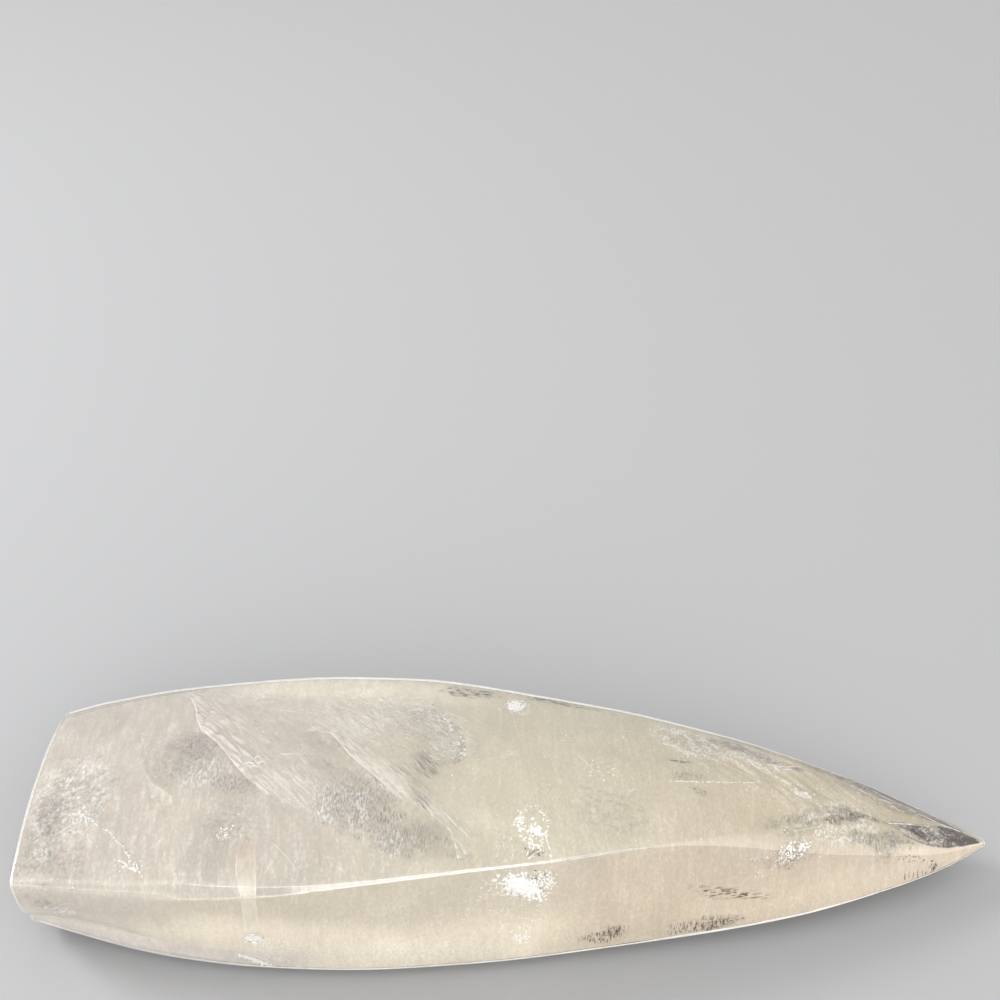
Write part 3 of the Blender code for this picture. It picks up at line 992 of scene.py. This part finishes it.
# %% Lines on the flank
FLANK_LINES = [
    [(-40.8, 34), (-37.9, 30.1)], [(-152.5, 14.3), (-151.2, 10)], [(-131.1, 14.2), (-130.7, 9.1)],
    [(-159.9, 32), (-156.3, 31.8), (-153.6, 30.6)], [(-158.5, 33.4), (-154, 31.4)],
    [(-174.7, 36.8), (-173, 38.1), (-170.6, 35.6), (-171.5, 32.6), (-174.2, 33.4)],
    [(-173.6, 36.4), (-171.8, 34.4)],
    [(-169.8, 22.5), (-160, 20.5), (-147.6, 18), (-136.8, 17), (-124, 14.5)],
    [(-75.9, 47.6), (-75.7, 49.2)], [(-73.6, 47.6), (-73.4, 49.4)],
]
flank_fog = line_fog("flank_line_fog", 0.002, 0.34, 0.55, 0.7)
seal_in(joined("flank_lines", strips(FLANK_LINES, 0.36, 0.5, 0.12, under_front)), flank_fog)

# %% [markdown]
# A narrow rose-coloured curtain stands across the stone near the cut end. It shows as an upright
# band that bends over the front ridge and on down the flank, because it is seen through both faces.

# %% The rose curtain
BAND_TOP = [[(-94.3, -36.2), (-96.3, -40.5), (-97.4, -42.3), (-96.9, -49.9), (-95.8, -54), (-95.2, -57.8)],
            [(-93.6, -36.5), (-91.1, -42.8), (-90.4, -46), (-89.6, -49.7), (-89.4, -54), (-89.2, -57.8)]]
BAND_FLANK = [[(-95.1, 50.2), (-94.7, 47.3), (-94.4, 44), (-94.3, 33.7), (-94.6, 23.3)],
              [(-89.2, 50.2), (-89.1, 47.7), (-89.2, 44.3), (-89.4, 34), (-89.6, 24.2)]]
ROSE = (0.67, 0.55, 0.465, 1)
PALE_ROSE = (0.93, 0.88, 0.78, 1)
BAND_COLUMNS = 24
BAND_DEPTH = 0.6


def band(name, sides, probe):
    """A ribbon between two lines, found with a probe."""
    left, right = (strung(side, BAND_COLUMNS) for side in sides)
    return sheet(name, [[probe(*a.lerp(b, share)[:2], BAND_DEPTH) for a, b in zip(left, right)]
                        for share in (0, 0.25, 0.5, 0.75, 1)])


def rose_fog(name, start, first, second):
    """Mottled haze with pale rims, from the first tint to the second along the ribbon."""
    recipe, _ = fog(name)
    along, aside = recipe.sheet_axes()
    grain = recipe.noise(recipe.place(scale=(1, 3, 3)), 0.0015, 4, 0.65)
    rims = aside.ramp(0.12, 0).most(aside.ramp(0.9, 1))
    tint = recipe.blend(along + (grain - 0.5) * 0.6, first, second)
    pale = rims * 0.35 + grain.ramp(0.5, 0.7) * 0.1
    tint = recipe.blend(pale, tint, SNOW)
    ends = (start, 1 - (0.16 - start))
    solid = (0.32 + grain * 0.35 + rims * 0.25) * along.ramp(0, ends[0]) * along.ramp(1, ends[1])
    recipe.feed(Base_Color=tint, Alpha=solid)
    return recipe


seal_in(band("rose_band_top", BAND_TOP, under_top), rose_fog("rose_fog", 0.15, ROSE, PALE_ROSE))
seal_in(band("rose_band_flank", BAND_FLANK, under_front),
        rose_fog("pale_rose_fog", 0.01, PALE_ROSE, PALE_ROSE))

# %% [markdown]
# Fresh breaks inside quartz are stacks of curved flakes with air between them, so they shine white,
# with dark gaps. One flake is modelled, a flattened and dented ball, and each break scatters a few
# hundred copies of it, nearly lying along the break. The tiny white flecks all through the stone are
# the same flake, far smaller. The draws are seeded, so every run scatters them in the same way.

# %% One flake
FLAKE_SHAPE = (1, 0.62, 0.13)
FLAKE_BEND = 0.2

bpy.ops.object.select_all(action="DESELECT")
bpy.ops.mesh.primitive_ico_sphere_add(subdivisions=1, radius=1, location=(0, 0, 0))
flake = bpy.context.object
edited(flake, bpy.ops.transform.resize, value=FLAKE_SHAPE, center_override=(0, 0, 0))
flake_points = np.array([tuple(v.co) for v in flake.data.vertices])
flake_points[:, 2] += FLAKE_BEND * (flake_points[:, 0] ** 2)
flake_faces = [tuple(p.vertices) for p in flake.data.polygons]
bpy.data.objects.remove(flake)
print("flake faces:", len(flake_faces))


def has_room(point, size):
    """Whether a flake of this size, in mm, stays inside the skin."""
    return skin_gap(point) > size * 0.5 + 0.15


def scattered(name, places):
    """Copies of the flake as one mesh; a place is (point in m, size in mm, turn as a matrix)."""
    points, faces = [], []
    places = [place for place in places if has_room(*place[:2])]
    for i, (point, size, turn) in enumerate(places):
        moved = flake_points @ np.array(turn).T * size * MM + np.array(point)
        points.append(moved)
        faces.extend(tuple(v + i * len(flake_points) for v in face) for face in flake_faces)
    mesh = bpy.data.meshes.new(name)
    mesh.from_pydata(np.concatenate(points).tolist(), [], faces)
    piece = bpy.data.objects.new(name, mesh)
    bpy.context.scene.collection.objects.link(piece)
    return piece


# %% Where flakes lie
ANY_TURN = 6.28
FLAKE_GAP = 0.05


def lying(chance, tilt, inward):
    """A random turn that is nearly flat along the skin, given the way into the stone there."""
    wobble = Euler((chance.gauss(0, tilt), chance.gauss(0, tilt), chance.uniform(0, ANY_TURN)))
    return inward.to_track_quat("Z", "Y").to_matrix() @ wobble.to_matrix()


def drawn_size(chance, sizes):
    """A size in mm between two limits; small ones are the most common."""
    return sizes[0] + (sizes[1] - sizes[0]) * chance.random() ** 2


def laid(chance, probe, x, aside, size, tilt, spill):
    """One flake's place, just above the haze but deep enough under the skin for its size and tilt."""
    depth = haze_depth(probe, x, aside) - FLAKE_GAP - abs(chance.gauss(0, spill)) * 0.5
    depth = max(0.2 + size * min(1, 0.3 + tilt), depth)
    inward = probe(x, aside, 1) - probe(x, aside, 0)
    return probe(x, aside, depth), size, lying(chance, tilt, inward)


def turned(centre, across, down, turn):
    """The place that is so far across and down from a centre, on axes turned by turn."""
    return (centre[0] + across * math.cos(turn) - down * math.sin(turn),
            centre[1] + across * math.sin(turn) + down * math.cos(turn))


def cluster(chance, probe, centre, spread, count, sizes, tilt=0.25, turn=0, spill=0.3):
    """Places scattered round a centre in mm, thickest in the middle."""
    places, turn = [], math.radians(turn)
    for _ in range(count):
        across, down = chance.gauss(0, 0.5) * spread[0], chance.gauss(0, 0.5) * spread[1]
        place = turned(centre, across, down, turn)
        places.append(laid(chance, probe, *place, drawn_size(chance, sizes), tilt, spill))
    return places


def ring(chance, centre, radii, count, sizes, start, end):
    """Places along an arc on the top, for the open rim of a bowl-shaped break."""
    places = []
    for _ in range(count):
        angle, reach = math.radians(chance.uniform(start, end)), chance.gauss(1, 0.1)
        x = centre[0] + radii[0] * reach * math.cos(angle)
        y = centre[1] + radii[1] * reach * math.sin(angle)
        places.append(laid(chance, under_top, x, y, drawn_size(chance, sizes), 0.35, 0.2))
    return places


print("5 mm across, turned upright:", [round(v, 1) for v in turned((10, 0), 5, 0, math.pi / 2)])

# %% Where the breaks are
FLANK_BREAKS = [  # centre, spread in mm, count, smallest and largest flake, turn in degrees
    ((0.8, 42.6), (6.4, 4.4), 420, (0.3, 1.1), -20), ((4.4, 38.6), (5.5, 3), 170, (0.25, 0.9), -30),
    ((8.6, 43.8), (4, 3.6), 90, (0.2, 0.85), 0), ((11.2, 41.8), (1.2, 4), 40, (0.2, 0.7), 0),
    ((-6.5, 43.5), (7, 6), 120, (0.12, 0.45), 0), ((1, 36), (11, 8), 130, (0.1, 0.35), 0),
    ((0.4, 20.4), (6, 6), 90, (0.12, 0.5), 0), ((0.8, 16.5), (3.2, 2.6), 50, (0.2, 0.7), 0),
    ((-92.4, 22.6), (3.4, 2.3), 110, (0.25, 1), 10), ((-87, 20), (8, 4), 80, (0.12, 0.45), 0),
    ((-96, 9.6), (5, 1.1), 90, (0.25, 1), -30), ((-91.4, 7.2), (4.6, 1.1), 90, (0.25, 0.9), -30),
    ((-86, 9.5), (9, 5), 70, (0.1, 0.4), 0), ((97, 35.6), (4.6, 3.4), 120, (0.2, 0.8), 0),
    ((102.6, 36.4), (3, 2.4), 50, (0.2, 0.7), 0), ((90, 34), (14, 5), 50, (0.12, 0.4), 0),
]
TOP_BREAKS = [
    ((-0.6, 33.4), (3.6, 4.4), 190, (0.3, 1.05), 0), ((0.4, 28), (7, 4.6), 90, (0.15, 0.5), 0),
    ((5.6, -35.6), (3.4, 2.4), 90, (0.25, 0.95), -20), ((0.6, -33), (1.6, 5), 60, (0.2, 0.8), 0),
    ((6, -41.5), (3.2, 1.8), 30, (0.2, 0.7), 0), ((96, -20.6), (4, 3), 14, (0.12, 0.32), 0),
    ((112, -16), (8, 4), 30, (0.12, 0.4), 0), ((105.2, -1.8), (3.6, 1.6), 50, (0.2, 0.8), 0),
    ((-96.6, -3), (5, 2.4), 60, (0.15, 0.5), 0), ((-135, -45), (7, 2.6), 50, (0.12, 0.42), -30),
    ((18.4, 12.2), (3, 3.4), 60, (0.1, 0.34), 0), ((-3, -44), (8, 5), 60, (0.1, 0.36), 0),
    ((30, -6), (7, 5), 60, (0.12, 0.42), 0), ((-103, -35), (3.2, 3), 46, (0.15, 0.55), 0),
]
DARK_GAPS = [  # probe, centre, spread in mm, count, smallest and largest flake, turn in degrees
    (under_front, (7.4, 44.6), (4.4, 3), 60, (0.15, 0.6), 0),
    (under_top, (6.2, -44), (3, 2), 26, (0.15, 0.6), 0),
    (under_front, (99, 35), (5.6, 3.6), 60, (0.15, 0.5), 0),
    (under_top, (-20, 3), (5, 9), 50, (0.1, 0.4), 0),
    (under_front, (145, 21.5), (8, 1.8), 60, (0.12, 0.5), -22),
    (under_front, (154.4, 14.6), (2.2, 2.6), 40, (0.15, 0.6), 0),
]
print("breaks:", len(FLANK_BREAKS), "on the flank and", len(TOP_BREAKS), "on the top")

# %% Breaks
BREAK_SEED = 41
chance = random.Random(BREAK_SEED)
white = []
for probe, breaks_here in ((under_front, FLANK_BREAKS), (under_top, TOP_BREAKS)):
    for centre, spread, count, sizes, turn in breaks_here:
        white += cluster(chance, probe, centre, spread, count, sizes, turn=turn)
white += ring(chance, (5.2, -33), (5, 7.4), 150, (0.15, 0.6), 0, 360)
white += ring(chance, (4.2, -3.2), (9, 5.2), 46, (0.12, 0.36), 10, 175)
recipe = Recipe("break_silver", Roughness=0.45, Metallic=0.4)
gaps = recipe.noise(recipe.place(), 0.0008, 2, 0.6)
recipe.feed(Base_Color=recipe.blend(gaps.ramp(0.28, 0.36), ASH, SNOW))
seal_in(scattered("breaks", white), recipe)

# %% Dark gaps in the breaks
GAP_BLACK = (0.1, 0.09, 0.085, 1)
dark_gaps = []
for probe, centre, spread, count, sizes, turn in DARK_GAPS:
    dark_gaps += cluster(chance, probe, centre, spread, count, sizes, turn=turn)
recipe, where = fog("gap_fog")
recipe.feed(Base_Color=recipe.blend(recipe.noise(where, 0.001).ramp(0.4, 0.6), GAP_BLACK, SLATE))
seal_in(scattered("dark_gaps", dark_gaps), recipe)

# %% Flecks
FLECK_SEED = 77
WARM_SNOW = (0.95, 0.92, 0.86, 1)
TOP_COUNT, FLANK_COUNT = 1100, 600
SMALLEST_FLECK = 0.11
FLECK_TILT, FLECK_SPILL = 1.5, 0.15
CROWDS = [  # probe, centre and spread in mm, count
    (under_top, (-120, 8), (22, 18), 120), (under_top, (-70, 0), (26, 20), 100),
    (under_top, (-32, 5), (16, 22), 160), (under_top, (-160, -20), (14, 26), 120),
    (under_top, (0, -30), (16, 12), 60), (under_top, (60, 12), (18, 10), 90),
    (under_top, (112, -8), (26, 9), 140), (under_front, (-16, 34), (5, 14), 90),
    (under_front, (0, 30), (14, 14), 80), (under_top, (-30, 20), (14, 20), 120),
    (under_top, (-140, 12), (8, 22), 60),
]
chance = random.Random(FLECK_SEED)
flecks = []
for _ in range(TOP_COUNT):
    x, y = chance.uniform(-172, 150), chance.gauss(-4, 24)
    size = SMALLEST_FLECK + 0.34 * chance.random() ** 4
    flecks.append(laid(chance, under_top, x, max(-50, min(50, y)), size, FLECK_TILT, FLECK_SPILL))
for _ in range(FLANK_COUNT):
    x, z = chance.uniform(-165, 140), chance.uniform(8, 46)
    size = SMALLEST_FLECK + 0.3 * chance.random() ** 4
    flecks.append(laid(chance, under_front, x, z, size, FLECK_TILT, FLECK_SPILL))
for probe, centre, spread, count in CROWDS:
    flecks += cluster(chance, probe, centre, spread, count, (0.1, 0.42), FLECK_TILT, spill=FLECK_SPILL)
recipe = Recipe("fleck_silver", Roughness=0.5, Metallic=0.3)
tint = recipe.noise(recipe.place(), 0.004).ramp(0.4, 0.6)
recipe.feed(Base_Color=recipe.blend(tint, SNOW, WARM_SNOW))
seal_in(scattered("flecks", flecks), recipe)

# %% [markdown]
# Marks are the smaller patches of fuzz: brown dashes along the lower front edge, grey streaks near
# the top edge, and wispy white tangles. Each is a sheet that follows the skin a little below it, and
# its noise is cut off sharply, so that only threads and dashes of it remain. The patch fades out,
# raggedly, towards the rim of its own UV map.

# %% A pane and its threads
PANE_COLUMNS, PANE_ROWS = 21, 11
PANE_GAP, PANE_STEP = 0.04, 0.0012


def pane(name, probe, centre, half, gap, turn):
    """A sheet gap mm above the haze round a centre; half is its half width and half height in mm."""
    rows, turn = [], math.radians(turn)
    for j in range(PANE_ROWS):
        row = []
        for i in range(PANE_COLUMNS):
            across = (2 * i / (PANE_COLUMNS - 1) - 1) * half[0]
            down = (2 * j / (PANE_ROWS - 1) - 1) * half[1]
            place = turned(centre, across, down, turn)
            row.append(probe(*place, haze_depth(probe, *place) - gap))
        rows.append(row)
    return sheet(name, rows)


def threads(name, tint, size, stretch, cut, strength, turn=0, even=0, wave=0.4):
    """Threads or dashes of one tint: sharp noise over an even share, fading towards the sheet's rim."""
    recipe, where = fog(name, tint)
    lines = recipe.noise(recipe.place(scale=stretch, turn=math.radians(turn)), size, 4, 0.62, wave)
    soft = recipe.noise(where, 0.007, 4, 0.65)
    reach = recipe.place(scale=(0.5, 0.5, 1), centre=(0.5, 0.5, 0), source="UV").length()
    rim = (reach + (soft - 0.5) * 1.6).ramp(0.95, 0.35)
    recipe.feed(Alpha=(lines.ramp(*cut) * strength + even) * rim)
    return recipe


print("vertices in a pane:", PANE_COLUMNS * PANE_ROWS)

# %% Finishes of the marks
UMBER = (0.2, 0.15, 0.11, 1)
STEM = (1, 4, 4)
umber_dashes = threads("umber_dashes", UMBER, 0.0006, STEM, (0.48, 0.6), 0.7, wave=0.2)
umber_blur = threads("umber_blur", UMBER, 0.0007, (2.5, 1, 1), (0.46, 0.66), 0.5, even=0.06)
umber_comb = threads("umber_comb", UMBER, 0.0005, STEM, (0.42, 0.6), 0.6, even=0.08, wave=0.1)
umber_streaks = threads("umber_streaks", UMBER, 0.0006, (24, 1.2, 1.2), (0.5, 0.6), 0.8, wave=0.05)
soot_flakes = threads("soot_flakes", (0.11, 0.1, 0.09, 1), 0.0009, (2.5, 1, 1), (0.5, 0.58), 0.9, -12)
slate_stems = threads("slate_stems", SLATE, 0.0005, STEM, (0.42, 0.62), 0.34, even=0.02, wave=0.15)
slate_flakes = threads("slate_flakes", SLATE, 0.0013, (2.5, 1, 1), (0.52, 0.6), 0.85)
slate_mist = threads("slate_mist", SLATE, 0.0016, (1.5, 1, 1), (0.42, 0.65), 0.18)
slate_slants = threads("slate_slants", SLATE, 0.0009, (8, 1, 2), (0.46, 0.62), 0.38, SLANT, 0.02)
mauve_mist = threads("mauve_mist", (0.5, 0.42, 0.46, 1), 0.0014, (1, 1, 1), (0.42, 0.64), 0.24, even=0.03)
ash_mist = threads("ash_mist", ASH, 0.0013, (2, 1, 1), (0.4, 0.62), 0.45, even=0.1)
green_mist = threads("green_mist", (0.42, 0.45, 0.41, 1), 0.0018, (1, 1.4, 1), (0.42, 0.62), 0.26, even=0.02)
white_tangle = threads("white_tangle", SNOW, 0.0014, (1.5, 1, 1), (0.55, 0.58), 1, 30, wave=1.5)
white_mottle = threads("white_mottle", SNOW, 0.001, (1, 1, 1), (0.56, 0.59), 1)
white_solid = threads("white_solid", SNOW, 0.001, (1, 1, 1), (0.43, 0.48), 1)
print("materials so far:", len(bpy.data.materials))

# %% Where the marks lie
PANES = [  # name, probe, centre, half size in mm, turn in degrees, finish
    ("dashes_low_middle", under_front, (31, 12), (12, 5.5), 8, umber_dashes),
    ("dashes_low_middle_dark", under_front, (34, 13), (6, 3.5), 0, umber_blur),
    ("dashes_low_right", under_front, (66, 11.5), (18, 5.5), 4, umber_dashes),
    ("dashes_low_dark", under_front, (75, 11.6), (12, 3.2), 6, umber_blur),
    ("streaks_front", under_front, (75, 24.4), (19, 3.4), -16, umber_streaks),
    ("marks_top_edge", under_top, (-17, 42), (14, 5.6), -6, soot_flakes),
    ("marks_top_mist", under_top, (-17, 41), (14, 7), -8, slate_mist),
    ("marks_back_edge", under_top, (16, 39.4), (24, 3.6), -17, soot_flakes),
    # The slate panes from here to phantom_slants lie in the clearer places: painted shade for the darker
    # depth seen there, with the stone's own combed streaks.
    ("window_1_stems", under_top, (-103, -13), (14, 6), -20, slate_stems),
    ("window_1_edge", under_top, (-99, 4), (12, 4), -52, slate_slants),
    ("low_left_stems", under_top, (-100, -30), (14, 12), 0, slate_mist),
    ("between_mist", under_top, (-84, -7), (8, 9), -50, slate_mist),
    ("window_2_stems", under_top, (-58, -25), (22, 16), -20, slate_stems),
    ("fan_stems", under_top, (-40, -40), (18, 10), 0, slate_stems),
    ("phantom_slants", under_top, (-33, -8), (8, 9), 0, slate_slants),
    ("right_mist", under_top, (34, -24), (22, 14), -10, slate_mist),
    ("right_comb", under_top, (63.5, -4), (10, 3.6), 6, slate_stems),
    ("right_marks", under_top, (61, 4), (6, 2), 0, slate_flakes),
    ("right_marks_low", under_top, (65.7, -10.7), (4.4, 2.4), -20, umber_blur),
    ("right_mauve", under_top, (84, 18), (22, 6), -14, mauve_mist),
    ("right_mauve_2", under_top, (100, 14.4), (12, 3.4), -4, umber_blur),
    ("back_dark", under_top, (84, 20.5), (12, 3.6), -34, ash_mist),
    ("back_dark_2", under_top, (116, 18), (12, 3.4), -14, ash_mist),
    ("back_dark_3", under_top, (131, 13.6), (12, 3), -26, ash_mist),
    ("right_slate", under_top, (66, 17), (16, 9), -14, slate_mist),
    ("right_slate_2", under_top, (82, 20), (14, 4), -14, ash_mist),
    ("tip_front_mist", under_top, (141, -9.5), (10, 4), 10, ash_mist),
    ("tip_mauve", under_top, (128, 11), (14, 4.6), -28, mauve_mist),
    ("fleck_shade", under_top, (18.4, 12.2), (4.5, 4.5), 0, slate_mist),
    ("ring_shade", under_top, (-3, -38), (7, 6), 0, slate_mist),
    ("arc_teeth", under_top, (103, -14.4), (11, 2.6), 14, slate_stems),
    ("arc_stems", under_top, (118, -9.8), (10, 2.8), 25, umber_comb),
    ("arc_stems_dark", under_top, (128, -5.2), (12, 2.2), 4, umber_comb),
    ("tip_edge_mist", under_top, (126, 9.5), (20, 6.4), -28, slate_mist),
    ("tip_back_mist", under_top, (143, 8.8), (20, 4.6), -22, ash_mist),
    ("comb_mist", under_top, (119, -6), (15, 5.6), 14, ash_mist),
    ("tip_dark_patch", under_top, (140.6, 4.6), (8, 3.6), -10, umber_blur),
    ("tip_low_mist", under_top, (131, -14.4), (16, 5), 6, green_mist),
    ("tip_low_stems", under_top, (130, -14.8), (14, 4), 6, slate_stems),
    ("sparkle_mist", under_front, (97, 34.5), (14, 6), 0, mauve_mist),
    ("sparkle_green", under_top, (98, -19), (16, 6), 10, green_mist),
    ("lens_shade", under_front, (-172, 35.2), (2.2, 2.6), 20, slate_mist),
    ("low_corner_mist", under_front, (-164, 30), (7, 5), -10, green_mist),
    ("end_green", under_top, (-160, -12), (18, 26), 0, green_mist),
    ("end_green_low", under_top, (-168, -36), (11, 20), 0, green_mist),
    ("end_green_window", under_top, (-120, 4), (15, 20), -30, green_mist),
    ("end_mauve", under_top, (-167, -18), (8, 14), 0, mauve_mist),
    ("end_mauve_low", under_top, (-157, -43), (9, 12), 0, mauve_mist),
    ("window_mauve", under_top, (-118, 12), (15, 11), 0, mauve_mist),
    ("corner_tangle", under_front, (-160, 27), (10, 6), -8, white_tangle),
    ("break_core", under_front, (1.6, 42), (8.6, 5.6), -25, white_solid),
    ("ring_core", under_top, (6, -35.4), (2.8, 2), -20, white_solid),
    ("ring_spots", under_top, (3.6, -39.5), (5, 3.4), -20, white_mottle),
    ("back_core", under_top, (-0.6, 32), (5, 5.6), 0, white_solid),
    ("low_core", under_front, (-92.4, 22.8), (5, 2.8), 10, white_solid),
    ("low_core_2", under_front, (-93.8, 8.6), (7.4, 1.7), -30, white_solid),
    ("phantom_spots", under_top, (-28, 24), (12, 6), -48, white_mottle),
]
print("panes:", len(PANES))

# %% Marks, each a hair above the one before
for i, (name, probe, centre, half, turn, recipe) in enumerate(PANES):
    seal_in(pane(name, probe, centre, half, PANE_GAP + PANE_STEP * i, turn), recipe)

# %% [markdown]
# The point is nearly free of haze, so through its top one looks down through clear quartz onto the floor
# below, in the stone's shade. A dark speckled sheet that lies along the stone under its top is painted shade
# for that floor, seen through the point. Along its back edge runs a narrow dark speckled band, while the
# front flank below the ridge stays creamy.

# %% The point: painted shade and a dark band
def dark_speckles(name, dark, light, size, solid, stretch=(1, 1, 1)):
    """A dark speckled sheet; solid is how much of it is there on average."""
    recipe, where = fog(name)
    specks = recipe.noise(where, size, 3, 0.75)
    clouds = recipe.noise(recipe.place(scale=stretch), 0.0035, 4, 0.6, 0.6)
    along, aside = recipe.sheet_axes()
    start = (along * 2.4 + (clouds - 0.5) * 1.6).ramp(0, 0.45)
    start = start * (aside + (clouds - 0.5) * 0.3).ramp(1.04, 0.92)
    speckle = (specks * 0.5 + clouds * 0.5 - along * 0.07 + (0.25 - along).most(0) * 0.3).ramp(0.41, 0.58)
    recipe.feed(Base_Color=recipe.blend(speckle, dark, light),
                Alpha=start * (clouds - 0.5 + solid).least(1))
    return recipe


TIP_SHADE_DARK = (0.11, 0.098, 0.09, 1)
TIP_SHADE_PALE = (0.62, 0.575, 0.53, 1)
TIP_BACK = [(134.8, -3.6), (142.1, -2.6), (147.1, -1.6), (153.1, 0), (158.7, 1.6), (164, 2.3),
            (169.3, 1.5), (174, 0.2)]
TIP_FRONT = [(135.2, -5.2), (140.2, -6.6), (145.9, -9), (150.3, -9.6), (155.2, -9), (161.2, -7.4),
             (168, -4.6), (174, -1.2)]
# Painted shade under the clear point: a dark speckled sheet for the shaded floor seen through it.
curtain("tip_shade", TIP_BACK, TIP_FRONT, dark_speckles("tip_shade_fog", TIP_SHADE_DARK, TIP_SHADE_PALE, 0.0007, 1, (2.5, 1, 1)), (1, 1))
EDGE_OUT = [(121.7, 20.4), (129.6, 18.2), (134.4, 16.6), (141, 14.2), (148.4, 11.6), (155.8, 8.6),
            (161.5, 6), (168, 3)]
EDGE_IN = [(121.3, 18), (128.8, 15.8), (133.2, 13.6), (140, 9.6), (147.4, 6.4), (154.8, 3.4), (160.9, 2.6),
           (168, 1.6)]
curtain("edge_band", EDGE_OUT, EDGE_IN, dark_speckles("edge_band_fog", SLATE, ASH, 0.0012, 0.75, (5, 1, 1)),
        (1, 1))

# %% Pale lines at the point
BACK_LINE = [(118.3, 19), (125, 18.2), (132.5, 15), (137.5, 11.8), (142, 9.6), (146.3, 7.7), (151.1, 5.7),
             (158.3, 3.1), (167, 1.7)]
OUTER_LINE = [(133, 17.2), (141.2, 14), (149.3, 10.8), (157.4, 7.6), (164, 4.4)]
TIP_MARKS = [[(140, 4.6), (141.6, 5.6), (143.8, 3.4)], [(136, 7.6), (138.4, 8), (141, 7)],
             [(126, 12), (128.6, 11.2), (131.6, 9.2)], [(137.4, -5), (146, -2.4), (154.2, -0.5)]]
tip_lines = strips([BACK_LINE], 0.42, 0.5, 0.05) + strips([OUTER_LINE], 0.3, 0.5, 0.05, seed=1)
tip_lines += strips(TIP_MARKS, 0.34, 0.5, 0.05, seed=2)
seal_in(joined("tip_lines", tip_lines), line_fog("tip_line_fog", 0.003, 0.3, 0.5, 0.9))
STALKS = [[(143, 16.6), (143.2, 13.6)], [(144.6, 16.6), (144.8, 14)], [(146.4, 15.8), (146.4, 13.2)],
          [(148.2, 16), (148.4, 12.6)], [(150, 15.4), (150.2, 12.2)], [(151.6, 14.6), (151.6, 12.4)]]
stalk_fog = line_fog("stalk_fog", 0.001, 0.35, 0.5, 0.75, UMBER)
seal_in(joined("tip_stalks", strips(STALKS, 0.3, 0.5, 0.08, under_front)), stalk_fog)
